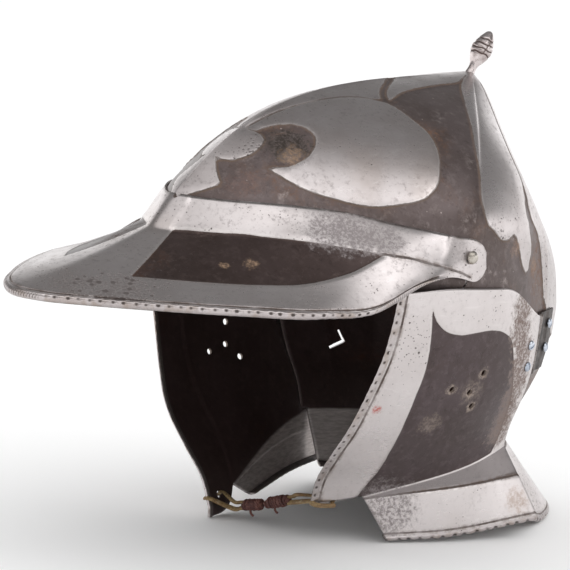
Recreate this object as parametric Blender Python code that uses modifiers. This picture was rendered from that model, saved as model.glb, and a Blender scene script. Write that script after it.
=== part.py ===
"""A black-and-white burgonet: a steel skull raised to a point at the back of the crown, a
pivoted peak, and two hinged cheek pieces tied at the chin.

The wearer faces -Y, the wearer's left is +X and the helmet rests on its neck flanges at
Z = 0. Dimensions are in millimetres and MM turns them into metres.
"""
import math

import bmesh
import bpy
import numpy as np
from mathutils import Vector

MM = 0.001
OBJECT_NAME = "burgonet"

# Place of the drawing's own centre in the object's frame.
SHIFT_Y = 12.5
SHIFT_Z = 0.0

# Plates
SKULL_PLATE = 1.5
PEAK_PLATE = 1.3
CHEEK_PLATE = 1.3
FIT_GAP = 0.6
EDGE_ROLL = 2.1

# Skull: an oval belt, an off-centre apex, and below the belt a neck and a nape flange
APEX = (0.0, 114.0, 237.5)
BELT_WIDTH, BELT_CENTRE = 95.0, 22.0
BELT_FRONT, BELT_REAR = 128.5, 132.0
PROW = 1.30
NECK_WIDTH, NECK_LENGTH, NECK_CENTRE = 73.0, 92.0, 40.0
NAPE_WIDTH, NAPE_LENGTH, NAPE_CENTRE = 80.0, 136.0, 42.0
BROW_EDGE, EAR_EDGE, NECK_HEIGHT, NAPE_EDGE = 143.0, 118.0, 45.0, 3.2
NAPE_RISE = 8.0
TONGUE_BEARING = 110.0
NAPE_BEARING = 112.5
RIDGE_BEARINGS = (0.0, 107.0, 139.0, 180.0)
RIDGE_HEIGHTS = (1.0, 3.0, 3.0, 3.0)
RIDGE_SPREAD = 16.0

# Dome profiles. Each row is one bearing round the belt: the height of the belt there,
# then the share of the rise left at each of these shares of the reach from the apex.
REACH = (0.0, 0.12, 0.25, 0.40, 0.55, 0.70, 0.82, 0.92, 0.98, 1.0)
PROFILES = {
    0.0: (160.0, (1.0, 1.000, 0.995, 0.970, 0.910, 0.785, 0.610, 0.385, 0.180, 0.0)),
    50.0: (150.0, (1.0, 0.992, 0.970, 0.930, 0.865, 0.750, 0.605, 0.425, 0.230, 0.0)),
    107.0: (135.0, (1.0, 0.965, 0.905, 0.825, 0.735, 0.630, 0.530, 0.405, 0.240, 0.0)),
    139.0: (121.0, (1.0, 0.930, 0.830, 0.680, 0.540, 0.430, 0.345, 0.235, 0.110, 0.0)),
    180.0: (118.0, (1.0, 0.930, 0.820, 0.670, 0.530, 0.420, 0.335, 0.225, 0.105, 0.0)),
}
SHOULDER_LIFT = 2.5
SHOULDER_SPREAD = 7.0

# How far the wall has drawn in from the belt to the neck at each height
WAIST_HEIGHTS = (45.0, 60.0, 75.0, 90.0, 104.0, 118.0)
WAIST_SHARES = (1.0, 0.80, 0.46, 0.19, 0.06, 0.0)

# Peak: plan and height of the seam on the skull, the crease and the rim, one row for
# each station from the front round to the arm end.
PIVOT_Y, PIVOT_Z = 15.0, 156.0
ARM_END, ARM_MIDDLE, ARM_BLUNT = 26.6, 155.5, 0.28
ARM_START, ARM_TURN, ARM_TIP, SEAM_LAG = 76.0, 88.2, 92.8, (7.2, 1.9)
PEAK_STATIONS = (
    # bearing, seam height, crease x, y, z, rim x, y, z
    (0.0, 180.5, 0.0, -115.5, 164.0, 0.0, -202.0, 139.0),
    (12.0, 180.0, 9.0, -109.0, 163.2, 14.0, -193.5, 139.0),
    (24.0, 179.5, 25.0, -97.0, 163.0, 29.0, -177.0, 139.0),
    (36.0, 179.0, 42.0, -82.0, 163.5, 50.0, -151.0, 138.5),
    (48.0, 177.0, 60.0, -65.5, 163.0, 74.0, -117.0, 137.5),
    (60.0, 172.0, 78.0, -45.0, 160.0, 92.0, -84.0, 136.5),
    (68.0, 169.0, 88.0, -28.0, 157.5, 98.0, -54.0, 137.0),
    (75.0, 166.0, 94.0, -11.0, 154.5, 99.5, -28.0, 146.5),
    (83.0, 165.0, 96.6, 4.0, 153.5, 98.2, -5.0, 150.0),
    (90.0, 165.2, 96.8, 19.0, 153.5, 97.6, 18.0, 146.2),
    (92.8, 165.2, 96.6, 26.6, 153.5, 97.2, 26.6, 145.8),
)
PEAK_LEAN = 3.0
CREASE_SAG = 6.0
ARM_CLEARANCE = 1.6

# Cheeks: front edge and middle of the plate in plan, one row for each height
CHEEK_SECTIONS = (
    # height, front x, front y, middle x, middle y
    (140.0, 92.0, -27.0, 98.2, 24.0),
    (120.0, 87.5, -25.5, 97.5, 27.0),
    (100.0, 81.5, -25.0, 94.0, 29.0),
    (82.0, 74.0, -26.0, 88.8, 30.0),
    (60.0, 62.5, -26.5, 78.0, 30.0),
    (45.0, 50.0, -24.0, 68.5, 30.0),
    (30.0, 37.0, -19.5, 58.0, 29.0),
    (14.0, 29.0, -15.0, 49.0, 26.0),
)
CHEEK_TOP, CHEEK_CORNER = 137.5, 120.0
CHEEK_REAR_BEARING = 116.5
CHIN_HEIGHT = {"left": 15.0, "right": 9.3}
CHIN_STEP = {"left": 1.0, "right": 5.0}
CREASE_FRONT = 21.0
CREASE_REAR = {"left": 50.0, "right": 45.0}
CREASE_START = 0.27
# Flange edge of each cheek in plan and height, at its front, middle and rear
FLANGES = {
    "left": ((52.0, 17.0, 2.8), (68.0, 52.0, 4.6), (83.0, 100.0, 11.5)),
    "right": ((50.0, 17.0, 5.5), (65.0, 58.0, 11.5), (82.0, 101.0, 13.0)),
}
CHEEK_LIFT = {"left": 4.0, "right": -9.0}
# The right cheek stands out a little further than the left: height, distance
SPLAY_HEIGHTS = (14.0, 30.0, 45.0, 60.0, 75.0, 90.0, 105.0, 140.0)
SPLAYS = {"left": (0.0,) * 8, "right": (12.5, 9.0, 6.3, 4.9, 4.3, 3.2, 2.2, 1.0)}
HINGE_GAP = 2.2
SIDES = {"left": 1.0, "right": -1.0}

# Finial: turned profile, radius and height up its own axis, top to bottom
FINIAL_LEAN = 33.5
FINIAL_LIFT = 0.5
FINIAL_PROFILE = ((0.0, 25.0), (1.3, 24.2), (3.0, 21.4), (4.8, 17.6), (5.9, 13.6), (5.9, 11.4),
                  (4.6, 8.6), (2.7, 6.6), (2.0, 5.4), (2.4, 4.2), (4.2, 2.0), (6.0, -1.0),
                  (5.6, -1.6), (0.0, 0.0))

# Rivets, screws and their holes
RIVET_HEAD, RIVET_RISE, RIVET_SHANK, RIVET_HOLE = 3.4, 2.4, 2.0, 2.3
RIVET_STAND = 1.8
RIVET_REACH, RIVET_TAIL = 9.8, 2.9
SCREW_HEAD, SCREW_RISE, SCREW_SHANK, SCREW_HOLE = 2.6, 1.5, 1.2, 1.5
SCREW_SLOT = (0.7, 0.6)
HEAD_GAP, HEAD_STAND = 0.35, 0.5
SLOT_TURNS = {"cheek": (30.0, 100.0), "skull": (55.0, 95.0)}
PIN_BEVEL, LEAF_STEP = 0.5, 4.0

# Hinges at the back of the cheeks
LEAF_PLATE, LEAF_GAP = 1.0, 0.4
LEAF_LOW, LEAF_HIGH = 89.0, 121.0
LEAF_FRONT, LEAF_BACK = 0.86, 0.995
SKULL_LEAF = (120.2, 131.0)
PIN_BEARING, PIN_RADIUS, PIN_STAND = 118.35, 1.7, 2.3
CHEEK_SCREWS = (106.0, 94.5)
CHEEK_SCREW_SHARE = 0.93
SKULL_SCREWS = (114.0, 101.0)
SKULL_SCREW_BEARING = 127.0

# Holes: the breaths in each cheek as offsets from the middle one, and the lace holes
BREATH_PLACE, BREATH_RADIUS = (30.4, 82.2), 1.7
BREATHS = {
    "left": ((0.7, 0.5), (6.6, 11.0), (-11.9, 2.0), (6.0, -7.2)),
    "right": ((0.0, 1.3), (2.4, 12.8), (-13.5, 0.3), (9.0, -7.0)),
}
LACE_SHARE, LACE_HEIGHT, LACE_HOLE = 0.115, {"left": 16.5, "right": 19.0}, 2.2
THONG_RADIUS = 1.2
KNOT_RIGHT = ((-21.0, -15.0, 9.0), (-9.0, -14.0, 11.5))
KNOT_LEFT = ((-5.5, -13.5, 13.0), (10.5, -13.0, 18.0))
KNOT_RADIUS, KNOT_GAP, STRAND_GAP = 3.2, 0.6, 0.35
KNOT_BULGE = (0.31, 0.85, 1.0, 0.8, 1.0, 0.85, 0.31)
# How far the thong stands off the plate's face and edge, and runs straight from its knot
THONG_CLEAR, THONG_LEAD = (4.2, 6.6), 5.0
SEAM_NOTCH = 1.5

# Tear in the right of the skull's neck: place, and each arm's length, width and turn
TEAR_BEARING, TEAR_HEIGHT = -127.0, 80.0
TEAR_ARMS = ((1.9, 2.9, 7.2, 1.3, 65.0), (-1.2, -1.6, 9.0, 1.7, -23.0))


def start_clean():
    for stray in list(bpy.data.objects):
        bpy.data.objects.remove(stray)


def make_collection(name):
    group = bpy.data.collections.new(name)
    bpy.context.scene.collection.children.link(group)
    return group


def make_material(name, colour, roughness, metallic):
    material = bpy.data.materials.new(name)
    material.use_nodes = True
    shader = material.node_tree.nodes["Principled BSDF"]
    shader.inputs["Base Color"].default_value = (*colour, 1.0)
    shader.inputs["Roughness"].default_value = roughness
    shader.inputs["Metallic"].default_value = metallic
    return material


def to_frame(x, y, z):
    return Vector((x, y + SHIFT_Y, z + SHIFT_Z)) * MM


def smooth(low, high, value):
    share = min(1.0, max(0.0, (value - low) / (high - low)))
    return share * share * (3.0 - 2.0 * share)


def spline(places, values, at):
    """Smooth curve through the values given at the places."""
    places = np.asarray(places, float)
    values = np.asarray(values, float)
    at = min(max(at, places[0]), places[-1])
    k = int(min(np.searchsorted(places, at, side="right") - 1, len(places) - 2))
    slopes = np.gradient(values, places, axis=0)
    width = places[k + 1] - places[k]
    t = (at - places[k]) / width
    return ((2 * t**3 - 3 * t**2 + 1) * values[k] + (t**3 - 2 * t**2 + t) * width * slopes[k]
            + (-2 * t**3 + 3 * t**2) * values[k + 1] + (t**3 - t**2) * width * slopes[k + 1])


def oval(width, length, centre, bearing):
    angle = math.radians(bearing)
    return np.array((width * math.sin(angle), centre - length * math.cos(angle)))


def belt(bearing):
    """The belt in plan: an ellipse behind, drawn to a blunt prow in front."""
    if abs(bearing) >= 90.0:
        return oval(BELT_WIDTH, BELT_REAR, BELT_CENTRE, bearing)
    angle = math.radians(bearing)
    across = math.copysign(abs(math.sin(angle)) ** (2.0 / PROW), bearing)
    ahead = math.cos(angle) ** (2.0 / PROW)
    return np.array((BELT_WIDTH * across, BELT_CENTRE - BELT_FRONT * ahead))


def outward(bearing):
    """Level direction square to the belt."""
    step = belt(bearing + 0.5) - belt(bearing - 0.5)
    out = np.array((step[1], -step[0], 0.0))
    return out / np.linalg.norm(out)


def belt_height(bearing):
    return spline(list(PROFILES), [row[0] for row in PROFILES.values()], abs(bearing))


def ridge_lift(bearing, reach):
    """Height of the creased ridges above the rounded wall."""
    lift = 0.0
    mean_radius = 0.5 * (BELT_WIDTH + BELT_REAR)
    for ridge, height in zip(RIDGE_BEARINGS, RIDGE_HEIGHTS):
        away = math.radians(abs(abs(bearing) - ridge)) * mean_radius * reach
        lift += height * math.exp(-away / RIDGE_SPREAD)
    return lift


def dome_point(bearing, reach):
    """A point of the skull's outer face between the apex and the belt."""
    heights = [spline(REACH, row[1], reach) for row in PROFILES.values()]
    rise = spline(list(PROFILES), heights, abs(bearing))
    low = belt_height(bearing)
    apex = np.array(APEX[:2])
    out = belt(bearing) - apex
    fade = min(1.0, reach / 0.15) * smooth(1.0, 0.72, reach)
    if abs(bearing) > 125.0:
        fade = min(1.0, reach / 0.15)
    lift = ridge_lift(bearing, reach) * fade
    plan = apex + out * reach + out / np.linalg.norm(out) * lift * reach
    shoulder = SHOULDER_LIFT * math.exp(-reach * np.linalg.norm(out) / SHOULDER_SPREAD)
    height = low + (APEX[2] - SHOULDER_LIFT - low) * rise + shoulder + lift * (1 - reach) * 0.6
    return np.array((plan[0], plan[1], height))


def wall_point(bearing, height):
    """A point of the skull's outer face between the belt and the neck."""
    share = spline(WAIST_HEIGHTS, WAIST_SHARES, height)
    neck = oval(NECK_WIDTH, NECK_LENGTH, NECK_CENTRE, bearing)
    edge = belt(bearing)
    if abs(bearing) > 125.0:
        out = edge - np.array(APEX[:2])
        edge = edge + out / np.linalg.norm(out) * ridge_lift(bearing, 1.0)
    plan = edge + (neck - edge) * share
    return np.array((plan[0], plan[1], height))


def outline_point(bearing, height):
    """The skull's outer face at a height, above or below the belt."""
    low = belt_height(bearing)
    if height <= low:
        return wall_point(bearing, height)
    inner, outer = 0.0, 1.0
    for _ in range(40):
        middle = 0.5 * (inner + outer)
        if dome_point(bearing, middle)[2] > height:
            inner = middle
        else:
            outer = middle
    return dome_point(bearing, outer)


def grid_sheet(name, columns, rows, place, keep=None):
    """An open sheet: a grid whose corners (u, v) in 0..1 are carried to place(u, v)."""
    shape = bmesh.new()
    bmesh.ops.create_grid(shape, x_segments=columns, y_segments=rows, size=0.5)
    if keep is not None:
        faces = [face for face in shape.faces
                 if not keep(face.calc_center_median().x + 0.5, face.calc_center_median().y + 0.5)]
        bmesh.ops.delete(shape, geom=faces, context="FACES")
    for corner in shape.verts:
        corner.co = to_frame(*place(corner.co.x + 0.5, corner.co.y + 0.5))
    bmesh.ops.remove_doubles(shape, verts=shape.verts, dist=0.02 * MM)
    bmesh.ops.recalc_face_normals(shape, faces=shape.faces)
    mesh = bpy.data.meshes.new(name)
    shape.to_mesh(mesh)
    shape.free()
    return bpy.data.objects.new(name, mesh)


def face_outwards(thing, inside):
    """Turn an open sheet's faces away from a point inside it."""
    shape = bmesh.new()
    shape.from_mesh(thing.data)
    centre = to_frame(*inside)
    facing = sum(face.normal.dot(face.calc_center_median() - centre) * face.calc_area()
                 for face in shape.faces)
    if facing < 0.0:
        bmesh.ops.reverse_faces(shape, faces=shape.faces)
    shape.to_mesh(thing.data)
    shape.free()


def thicken(thing, thickness):
    wall = thing.modifiers.new("wall", "SOLIDIFY")
    wall.thickness = thickness * MM
    wall.offset = -1.0
    wall.use_even_offset = True
    wall.use_quality_normals = True


def finish(thing, group, material, sharp_degrees=32.0):
    thing.data.shade_smooth()
    thing.data.set_sharp_from_angle(angle=math.radians(sharp_degrees))
    thing.data.materials.clear()
    thing.data.materials.append(material)
    if thing.name not in group.objects:
        group.objects.link(thing)
    return thing


def rolled(edge, along, inward, turn, curl=1.0):
    """A point of an edge rolled under through an angle, and worn flat where it rests."""
    angle = math.radians(turn * curl)
    along = along / np.linalg.norm(along)
    inward = inward - along * inward.dot(along)
    inward = inward / np.linalg.norm(inward)
    point = edge + EDGE_ROLL * (math.sin(angle) * along + (1.0 - math.cos(angle)) * inward)
    point[2] = max(point[2], -SHIFT_Z)
    return point


ROLL_TURNS = (65.0, 110.0, 155.0)

# ---- skull ----------------------------------------------------------------------------

SKULL_BEARINGS = tuple(np.linspace(0.0, 98.0, 16)) + (
    103.0, 107.0, TONGUE_BEARING, NAPE_BEARING, 124.3, 131.6) + tuple(np.linspace(139.0, 180.0, 6))
DOME_REACHES = (0.0, 0.09, 0.20, 0.33, 0.47, 0.61, 0.75, 0.87, 0.95, 1.0)
WALL_ROWS = 2
TONGUE_HEIGHTS = (105.0, 90.0, 75.0, 60.0, NECK_HEIGHT)
FLANGE_SHARES = (0.33, 0.67, 1.0)


def skull_edge(bearing):
    """Height of the lower edge round the face and over the ears."""
    return BROW_EDGE + (EAR_EDGE - BROW_EDGE) * smooth(52.0, 74.0, abs(bearing))


def nape_point(bearing, share):
    """A point of the nape flange, from the neck crease (0) to its edge (1)."""
    neck = oval(NECK_WIDTH, NECK_LENGTH, NECK_CENTRE, bearing)
    rim = oval(NAPE_WIDTH, NAPE_LENGTH, NAPE_CENTRE, bearing)
    plan = neck + (rim - neck) * share
    low = NAPE_EDGE + NAPE_RISE * smooth(132.0, 112.0, abs(bearing))
    return np.array((plan[0], plan[1], NECK_HEIGHT + (low - NECK_HEIGHT) * share))


def skull_corner(bearing, row):
    if row < len(DOME_REACHES):
        return dome_point(bearing, DOME_REACHES[row])
    row -= len(DOME_REACHES) - 1
    if row <= WALL_ROWS:
        top = belt_height(bearing)
        return wall_point(bearing, top + (skull_edge(bearing) - top) * row / WALL_ROWS)
    row -= WALL_ROWS + 1
    if row < len(TONGUE_HEIGHTS):
        return wall_point(bearing, TONGUE_HEIGHTS[row])
    row -= len(TONGUE_HEIGHTS)
    if row < len(FLANGE_SHARES):
        return nape_point(bearing, FLANGE_SHARES[row])
    row -= len(FLANGE_SHARES)
    edge = nape_point(bearing, 1.0)
    along = edge - nape_point(bearing, 0.0)
    inward = np.array((-along[0], -along[1], -np.hypot(along[0], along[1])))
    return rolled(edge, along, inward, ROLL_TURNS[row])


def make_skull(group, material):
    bearings = [-b for b in reversed(SKULL_BEARINGS)] + list(SKULL_BEARINGS[1:])
    columns = len(bearings) - 1
    wall_rows = len(DOME_REACHES) - 1 + WALL_ROWS
    neck_rows = wall_rows + len(TONGUE_HEIGHTS)
    rows = neck_rows + len(FLANGE_SHARES) + len(ROLL_TURNS)

    def place(u, v):
        return skull_corner(bearings[round(u * columns)], round(v * rows))

    def keep(u, v):
        left, right = bearings[int(u * columns)], bearings[int(u * columns) + 1]
        on_tongue = min(abs(left), abs(right)) >= TONGUE_BEARING - 0.01
        on_nape = min(abs(left), abs(right)) >= NAPE_BEARING - 0.01
        return v * rows < wall_rows or (v * rows < neck_rows and on_tongue) or on_nape

    skull = grid_sheet("skull", columns, rows, place, keep)
    face_outwards(skull, (0.0, 30.0, 120.0))
    thicken(skull, SKULL_PLATE)
    return finish(skull, group, material)


# ---- peak -----------------------------------------------------------------------------

PEAK_BEARINGS = tuple(np.linspace(0.0, 84.0, 19)) + (86.5, 88.5, 90.0, 91.2, 92.2, ARM_TIP)
BAND_ROWS = 2
BRIM_ROWS = 4
# Hollow across the brim, how far down the edge is turned, and how much of it at the arms
BRIM_HOLLOW, ROLL_DROP, ARM_CURL = 2.5, 12.0, 0.3


def station(bearing):
    """Seam, crease and rim of the peak at one bearing on the wearer's left."""
    table = np.array(PEAK_STATIONS)
    row = spline(table[:, 0], table[:, 1:], abs(bearing))
    turn = abs(bearing)
    clear = PEAK_PLATE + FIT_GAP + ARM_CLEARANCE * smooth(40.0, 78.0, turn)
    lag, catch_up = SEAM_LAG
    aft = turn - lag * smooth(66.0, ARM_TURN, turn) + catch_up * smooth(ARM_TURN, ARM_TIP, turn)
    seam = outline_point(aft, row[0]) + outward(aft) * clear
    return seam, row[1:4], row[4:7]


def peak_point(bearing, across):
    """Across runs 0 to 1 over the band, 1 to 2 over the brim, then round the rolled edge."""
    side = -1.0 if bearing < 0.0 else 1.0
    seam, crease, rim = station(bearing)
    if side < 0.0:
        crease[2] -= CREASE_SAG * smooth(22.0, 48.0, -bearing) * smooth(84.0, 66.0, -bearing)
    if across <= 1.0:
        point = seam + (crease - seam) * across
    elif across <= 2.0:
        share = across - 1.0
        point = crease + (rim - crease) * share
        hollow = BRIM_HOLLOW * math.sin(math.pi * share) * smooth(80.0, 50.0, abs(bearing))
        point = point - np.array((0.0, 0.0, hollow))
    else:
        along = rim - crease
        inward = np.array((-0.3 * along[0], -0.3 * along[1], -ROLL_DROP))
        curl = ARM_CURL + (1.0 - ARM_CURL) * smooth(82.0, 72.0, abs(bearing))
        point = rolled(rim, along, inward, ROLL_TURNS[round(across - 3.0)], curl)
    past = (abs(bearing) - ARM_TURN) / (ARM_TIP - ARM_TURN)
    along = PIVOT_Y + past * (ARM_END - PIVOT_Y)
    point[1] += (along - point[1]) * smooth(ARM_START, ARM_TURN, abs(bearing))
    narrow = max(ARM_BLUNT, math.sqrt(1.0 - min(1.0, max(0.0, past)) ** 2.2))
    point[2] = ARM_MIDDLE + (point[2] - ARM_MIDDLE) * narrow
    lean = PEAK_LEAN * math.tanh(point[0] * side / 30.0) * min(1.0, max(0.0, across - 1.0))
    return np.array((point[0] * side, point[1], point[2] - lean))


def make_peak(group, material):
    bearings = [-b for b in reversed(PEAK_BEARINGS)] + list(PEAK_BEARINGS[1:])
    columns = len(bearings) - 1
    rows = BAND_ROWS + BRIM_ROWS + len(ROLL_TURNS)

    def place(u, v):
        row = round(v * rows)
        if row <= BAND_ROWS:
            across = row / BAND_ROWS
        elif row <= BAND_ROWS + BRIM_ROWS:
            across = 1.0 + (row - BAND_ROWS) / BRIM_ROWS
        else:
            across = 3.0 + row - BAND_ROWS - BRIM_ROWS - 1
        return peak_point(bearings[round(u * columns)], across)

    peak = grid_sheet("peak", columns, rows, place)
    face_outwards(peak, (0.0, -20.0, 60.0))
    thicken(peak, PEAK_PLATE)
    return finish(peak, group, material)


# ---- cheeks ---------------------------------------------------------------------------

CHEEK_COLUMNS = 14
CHEEK_ROWS = 9
CHEEK_FLANGE_ROWS = 3


def cheek_rear(height):
    """Rear edge of the cheek, lying just outside the skull's nape tongue."""
    point = wall_point(CHEEK_REAR_BEARING, min(height, CHEEK_TOP))
    clear = CHEEK_PLATE + HINGE_GAP + 0.8 * smooth(118.0, 60.0, height)
    return point + outward(CHEEK_REAR_BEARING) * clear


def cheek_at(side, u, height):
    """Plan position of the cheek plate at a height, from its front edge to its rear."""
    table = np.array(CHEEK_SECTIONS)[::-1]
    row = spline(table[:, 0], table[:, 1:], height)
    front, middle, rear = row[0:2], row[2:4], cheek_rear(height)[:2]
    pull = 2.0 * middle - 0.5 * (front + rear)
    front = front + np.array((0.75, -0.65)) * spline(SPLAY_HEIGHTS, SPLAYS[side], height)
    plan = front * (1 - u) ** 2 + 2.0 * pull * u * (1 - u) + rear * u * u
    return np.array((plan[0], plan[1], height))


def cheek_top(u):
    drop = smooth(0.66, 1.04, u) ** 1.2
    return CHEEK_TOP - 2.0 * (1.0 - smooth(0.0, 0.35, u)) - (CHEEK_TOP - CHEEK_CORNER) * drop


def cheek_bottom(side, u):
    if u < CREASE_START:
        rise = (u / CREASE_START) ** CHIN_STEP[side]
        return CHIN_HEIGHT[side] + (CREASE_FRONT - CHIN_HEIGHT[side]) * rise
    share = (u - CREASE_START) / (1.0 - CREASE_START)
    return CREASE_FRONT + (CREASE_REAR[side] - CREASE_FRONT) * share


def cheek_flange_edge(side, u):
    share = (u - CREASE_START) / (1.0 - CREASE_START)
    return spline((0.0, 0.5, 1.0), FLANGES[side], share)


def cheek_point(side, u, row):
    """Rows run down the plate to the neck crease, then down the flange and round its roll."""
    if row <= CHEEK_ROWS:
        height = cheek_top(u) + (cheek_bottom(side, u) - cheek_top(u)) * row / CHEEK_ROWS
        point = cheek_at(side, u, height)
    else:
        crease = cheek_at(side, u, cheek_bottom(side, u))
        crease[2] += CHEEK_LIFT[side] * smooth(75.0, -20.0, crease[1])
        edge = cheek_flange_edge(side, u)
        row -= CHEEK_ROWS
        if row <= CHEEK_FLANGE_ROWS:
            point = crease + (edge - crease) * row / CHEEK_FLANGE_ROWS
        else:
            inward = np.array((-1.0, -0.6, -0.8))
            point = rolled(edge, edge - crease, inward, ROLL_TURNS[row - CHEEK_FLANGE_ROWS - 1])
        return np.array((point[0] * SIDES[side], point[1], point[2]))
    point[2] += CHEEK_LIFT[side] * smooth(75.0, -20.0, point[1])
    return np.array((point[0] * SIDES[side], point[1], point[2]))


def make_cheek(side, group, material):
    rows = CHEEK_ROWS + CHEEK_FLANGE_ROWS + len(ROLL_TURNS)
    fronts = len(ROLL_TURNS)
    columns = CHEEK_COLUMNS + fronts

    def place(u, v):
        column, row = round(u * columns) - fronts, round(v * rows)
        if column >= 0:
            return cheek_point(side, column / CHEEK_COLUMNS, row)
        row = min(row, CHEEK_ROWS)
        edge = cheek_point(side, 0.0, row)
        along = edge - cheek_point(side, 1.0 / CHEEK_COLUMNS, row)
        inward = np.array((-SIDES[side], 0.0, 0.0))
        return rolled(edge, along, inward, ROLL_TURNS[-column - 1])

    def keep(u, v):
        column = u * columns - fronts
        return v * rows < CHEEK_ROWS or column / CHEEK_COLUMNS > CREASE_START

    cheek = grid_sheet("cheek_" + side, columns, rows, place, keep)
    face_outwards(cheek, (0.0, 20.0, 70.0))
    thicken(cheek, CHEEK_PLATE)
    return finish(cheek, group, material)


# ---- small parts ----------------------------------------------------------------------

TURNING_STEPS = 20


def turned(name, profile, at, direction, group, material, steps=TURNING_STEPS):
    """A turned piece: radius and height pairs from its top to its bottom, set on an axis."""
    mesh = bpy.data.meshes.new(name)
    corners = [(radius * MM, 0.0, height * MM) for radius, height in profile]
    edges = [(k, k + 1) for k in range(len(profile) - 1)]
    mesh.from_pydata(corners, edges, [])
    thing = bpy.data.objects.new(name, mesh)
    turn = thing.modifiers.new("turn", "SCREW")
    turn.steps = steps
    turn.render_steps = steps
    turn.use_merge_vertices = True
    turn.merge_threshold = 0.05 * MM
    turn.use_smooth_shade = True
    thing.location = to_frame(*at)
    thing.rotation_euler = Vector(direction).to_track_quat("Z", "Y").to_euler()
    thing.data.materials.append(material)
    group.objects.link(thing)
    return thing


def domed(head, rise, shank, reach, tail):
    """Profile of a rivet or screw: domed head above 0, shank below it, tail at the end."""
    dome = [(head * math.sin(turn), rise * math.cos(turn))
            for turn in (math.radians(angle) for angle in (0.0, 25.0, 50.0, 72.0, 90.0))]
    end = [(shank, 0.0), (shank, -reach)]
    if tail > 0.0:
        end += [(tail, -reach), (tail, -reach - 1.0)]
    return tuple(dome + end + [(0.0, end[-1][1])])


def cut(thing, name, tool):
    hole = thing.modifiers.new(name, "BOOLEAN")
    hole.object = tool
    hole.operation = "DIFFERENCE"
    hole.solver = "EXACT"


def hide_tool(tool, tools):
    tool.hide_render = True
    tool.display_type = "WIRE"
    tools.objects.link(tool)
    return tool


def drill(thing, name, at, direction, radius, tools, length=16.0):
    """Bore a round hole through a plate."""
    shape = bmesh.new()
    bmesh.ops.create_cone(shape, cap_ends=True, segments=16, radius1=radius * MM,
                          radius2=radius * MM, depth=length * MM)
    mesh = bpy.data.meshes.new(name)
    shape.to_mesh(mesh)
    shape.free()
    tool = hide_tool(bpy.data.objects.new(name, mesh), tools)
    tool.location = to_frame(*at)
    tool.rotation_euler = Vector(direction).to_track_quat("Z", "Y").to_euler()
    cut(thing, name, tool)


def box_tool(name, size, tools):
    shape = bmesh.new()
    bmesh.ops.create_cube(shape, size=1.0)
    bmesh.ops.scale(shape, vec=[length * MM for length in size], verts=shape.verts)
    mesh = bpy.data.meshes.new(name)
    shape.to_mesh(mesh)
    shape.free()
    return hide_tool(bpy.data.objects.new(name, mesh), tools)


def make_finial(group, material):
    lean = math.radians(FINIAL_LEAN)
    axis = np.array((0.0, math.sin(lean), math.cos(lean)))
    place = np.array(APEX) + axis * FINIAL_LIFT
    return turned("finial", FINIAL_PROFILE, place, axis, group, material, 24)


def make_pivot(side, skull, peak, group, tools, material):
    """Rivet on the peak's axis, through the arm and the skull."""
    sign = SIDES[side]
    arm = peak_point(sign * ARM_TURN, 0.5)
    at = (arm[0] + sign * RIVET_STAND, PIVOT_Y, PIVOT_Z)
    for thing in (skull, peak):
        drill(thing, f"pivot_hole_{side}_{thing.name}", at, (1.0, 0.0, 0.0), RIVET_HOLE, tools,
              28.0)
    profile = domed(RIVET_HEAD, RIVET_RISE, RIVET_SHANK, RIVET_REACH, RIVET_TAIL)
    return turned("pivot_rivet_" + side, profile, at, (sign, 0.0, 0.0), group, material)


def cheek_normal(side, u, height):
    """Outward direction of a cheek plate, and the place on its outer face."""
    place = cheek_at(side, u, height)
    across = cheek_at(side, u + 0.02, height) - cheek_at(side, u - 0.02, height)
    up = cheek_at(side, u, height + 2.0) - cheek_at(side, u, height - 2.0)
    out = np.cross(across, up)
    out = out / np.linalg.norm(out)
    mirror = np.array((SIDES[side], 1.0, 1.0))
    place[2] += CHEEK_LIFT[side] * smooth(75.0, -20.0, place[1])
    return place * mirror, out * mirror


def cheek_share(side, y, height):
    """How far back along the cheek plate a place lies."""
    shares = np.linspace(0.0, 1.0, 101)
    return shares[int(np.argmin([abs(cheek_at(side, u, height)[1] - y) for u in shares]))]


def pierce_cheek(side, cheek, tools):
    y, z = BREATH_PLACE
    for k, (back, up) in enumerate(BREATHS[side]):
        share = cheek_share(side, y + back, z + up)
        place, out = cheek_normal(side, share, z + up)
        drill(cheek, f"breath_{side}_{k}", place, out, BREATH_RADIUS, tools)
    place, out = cheek_normal(side, LACE_SHARE, LACE_HEIGHT[side])
    drill(cheek, "lace_hole_" + side, place, out, LACE_HOLE, tools)


def leaf_sheet(name, columns, rows, place, group, material):
    leaf = grid_sheet(name, columns, rows, place)
    face_outwards(leaf, (0.0, 40.0, 105.0))
    thicken(leaf, LEAF_PLATE)
    return finish(leaf, group, material)


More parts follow.
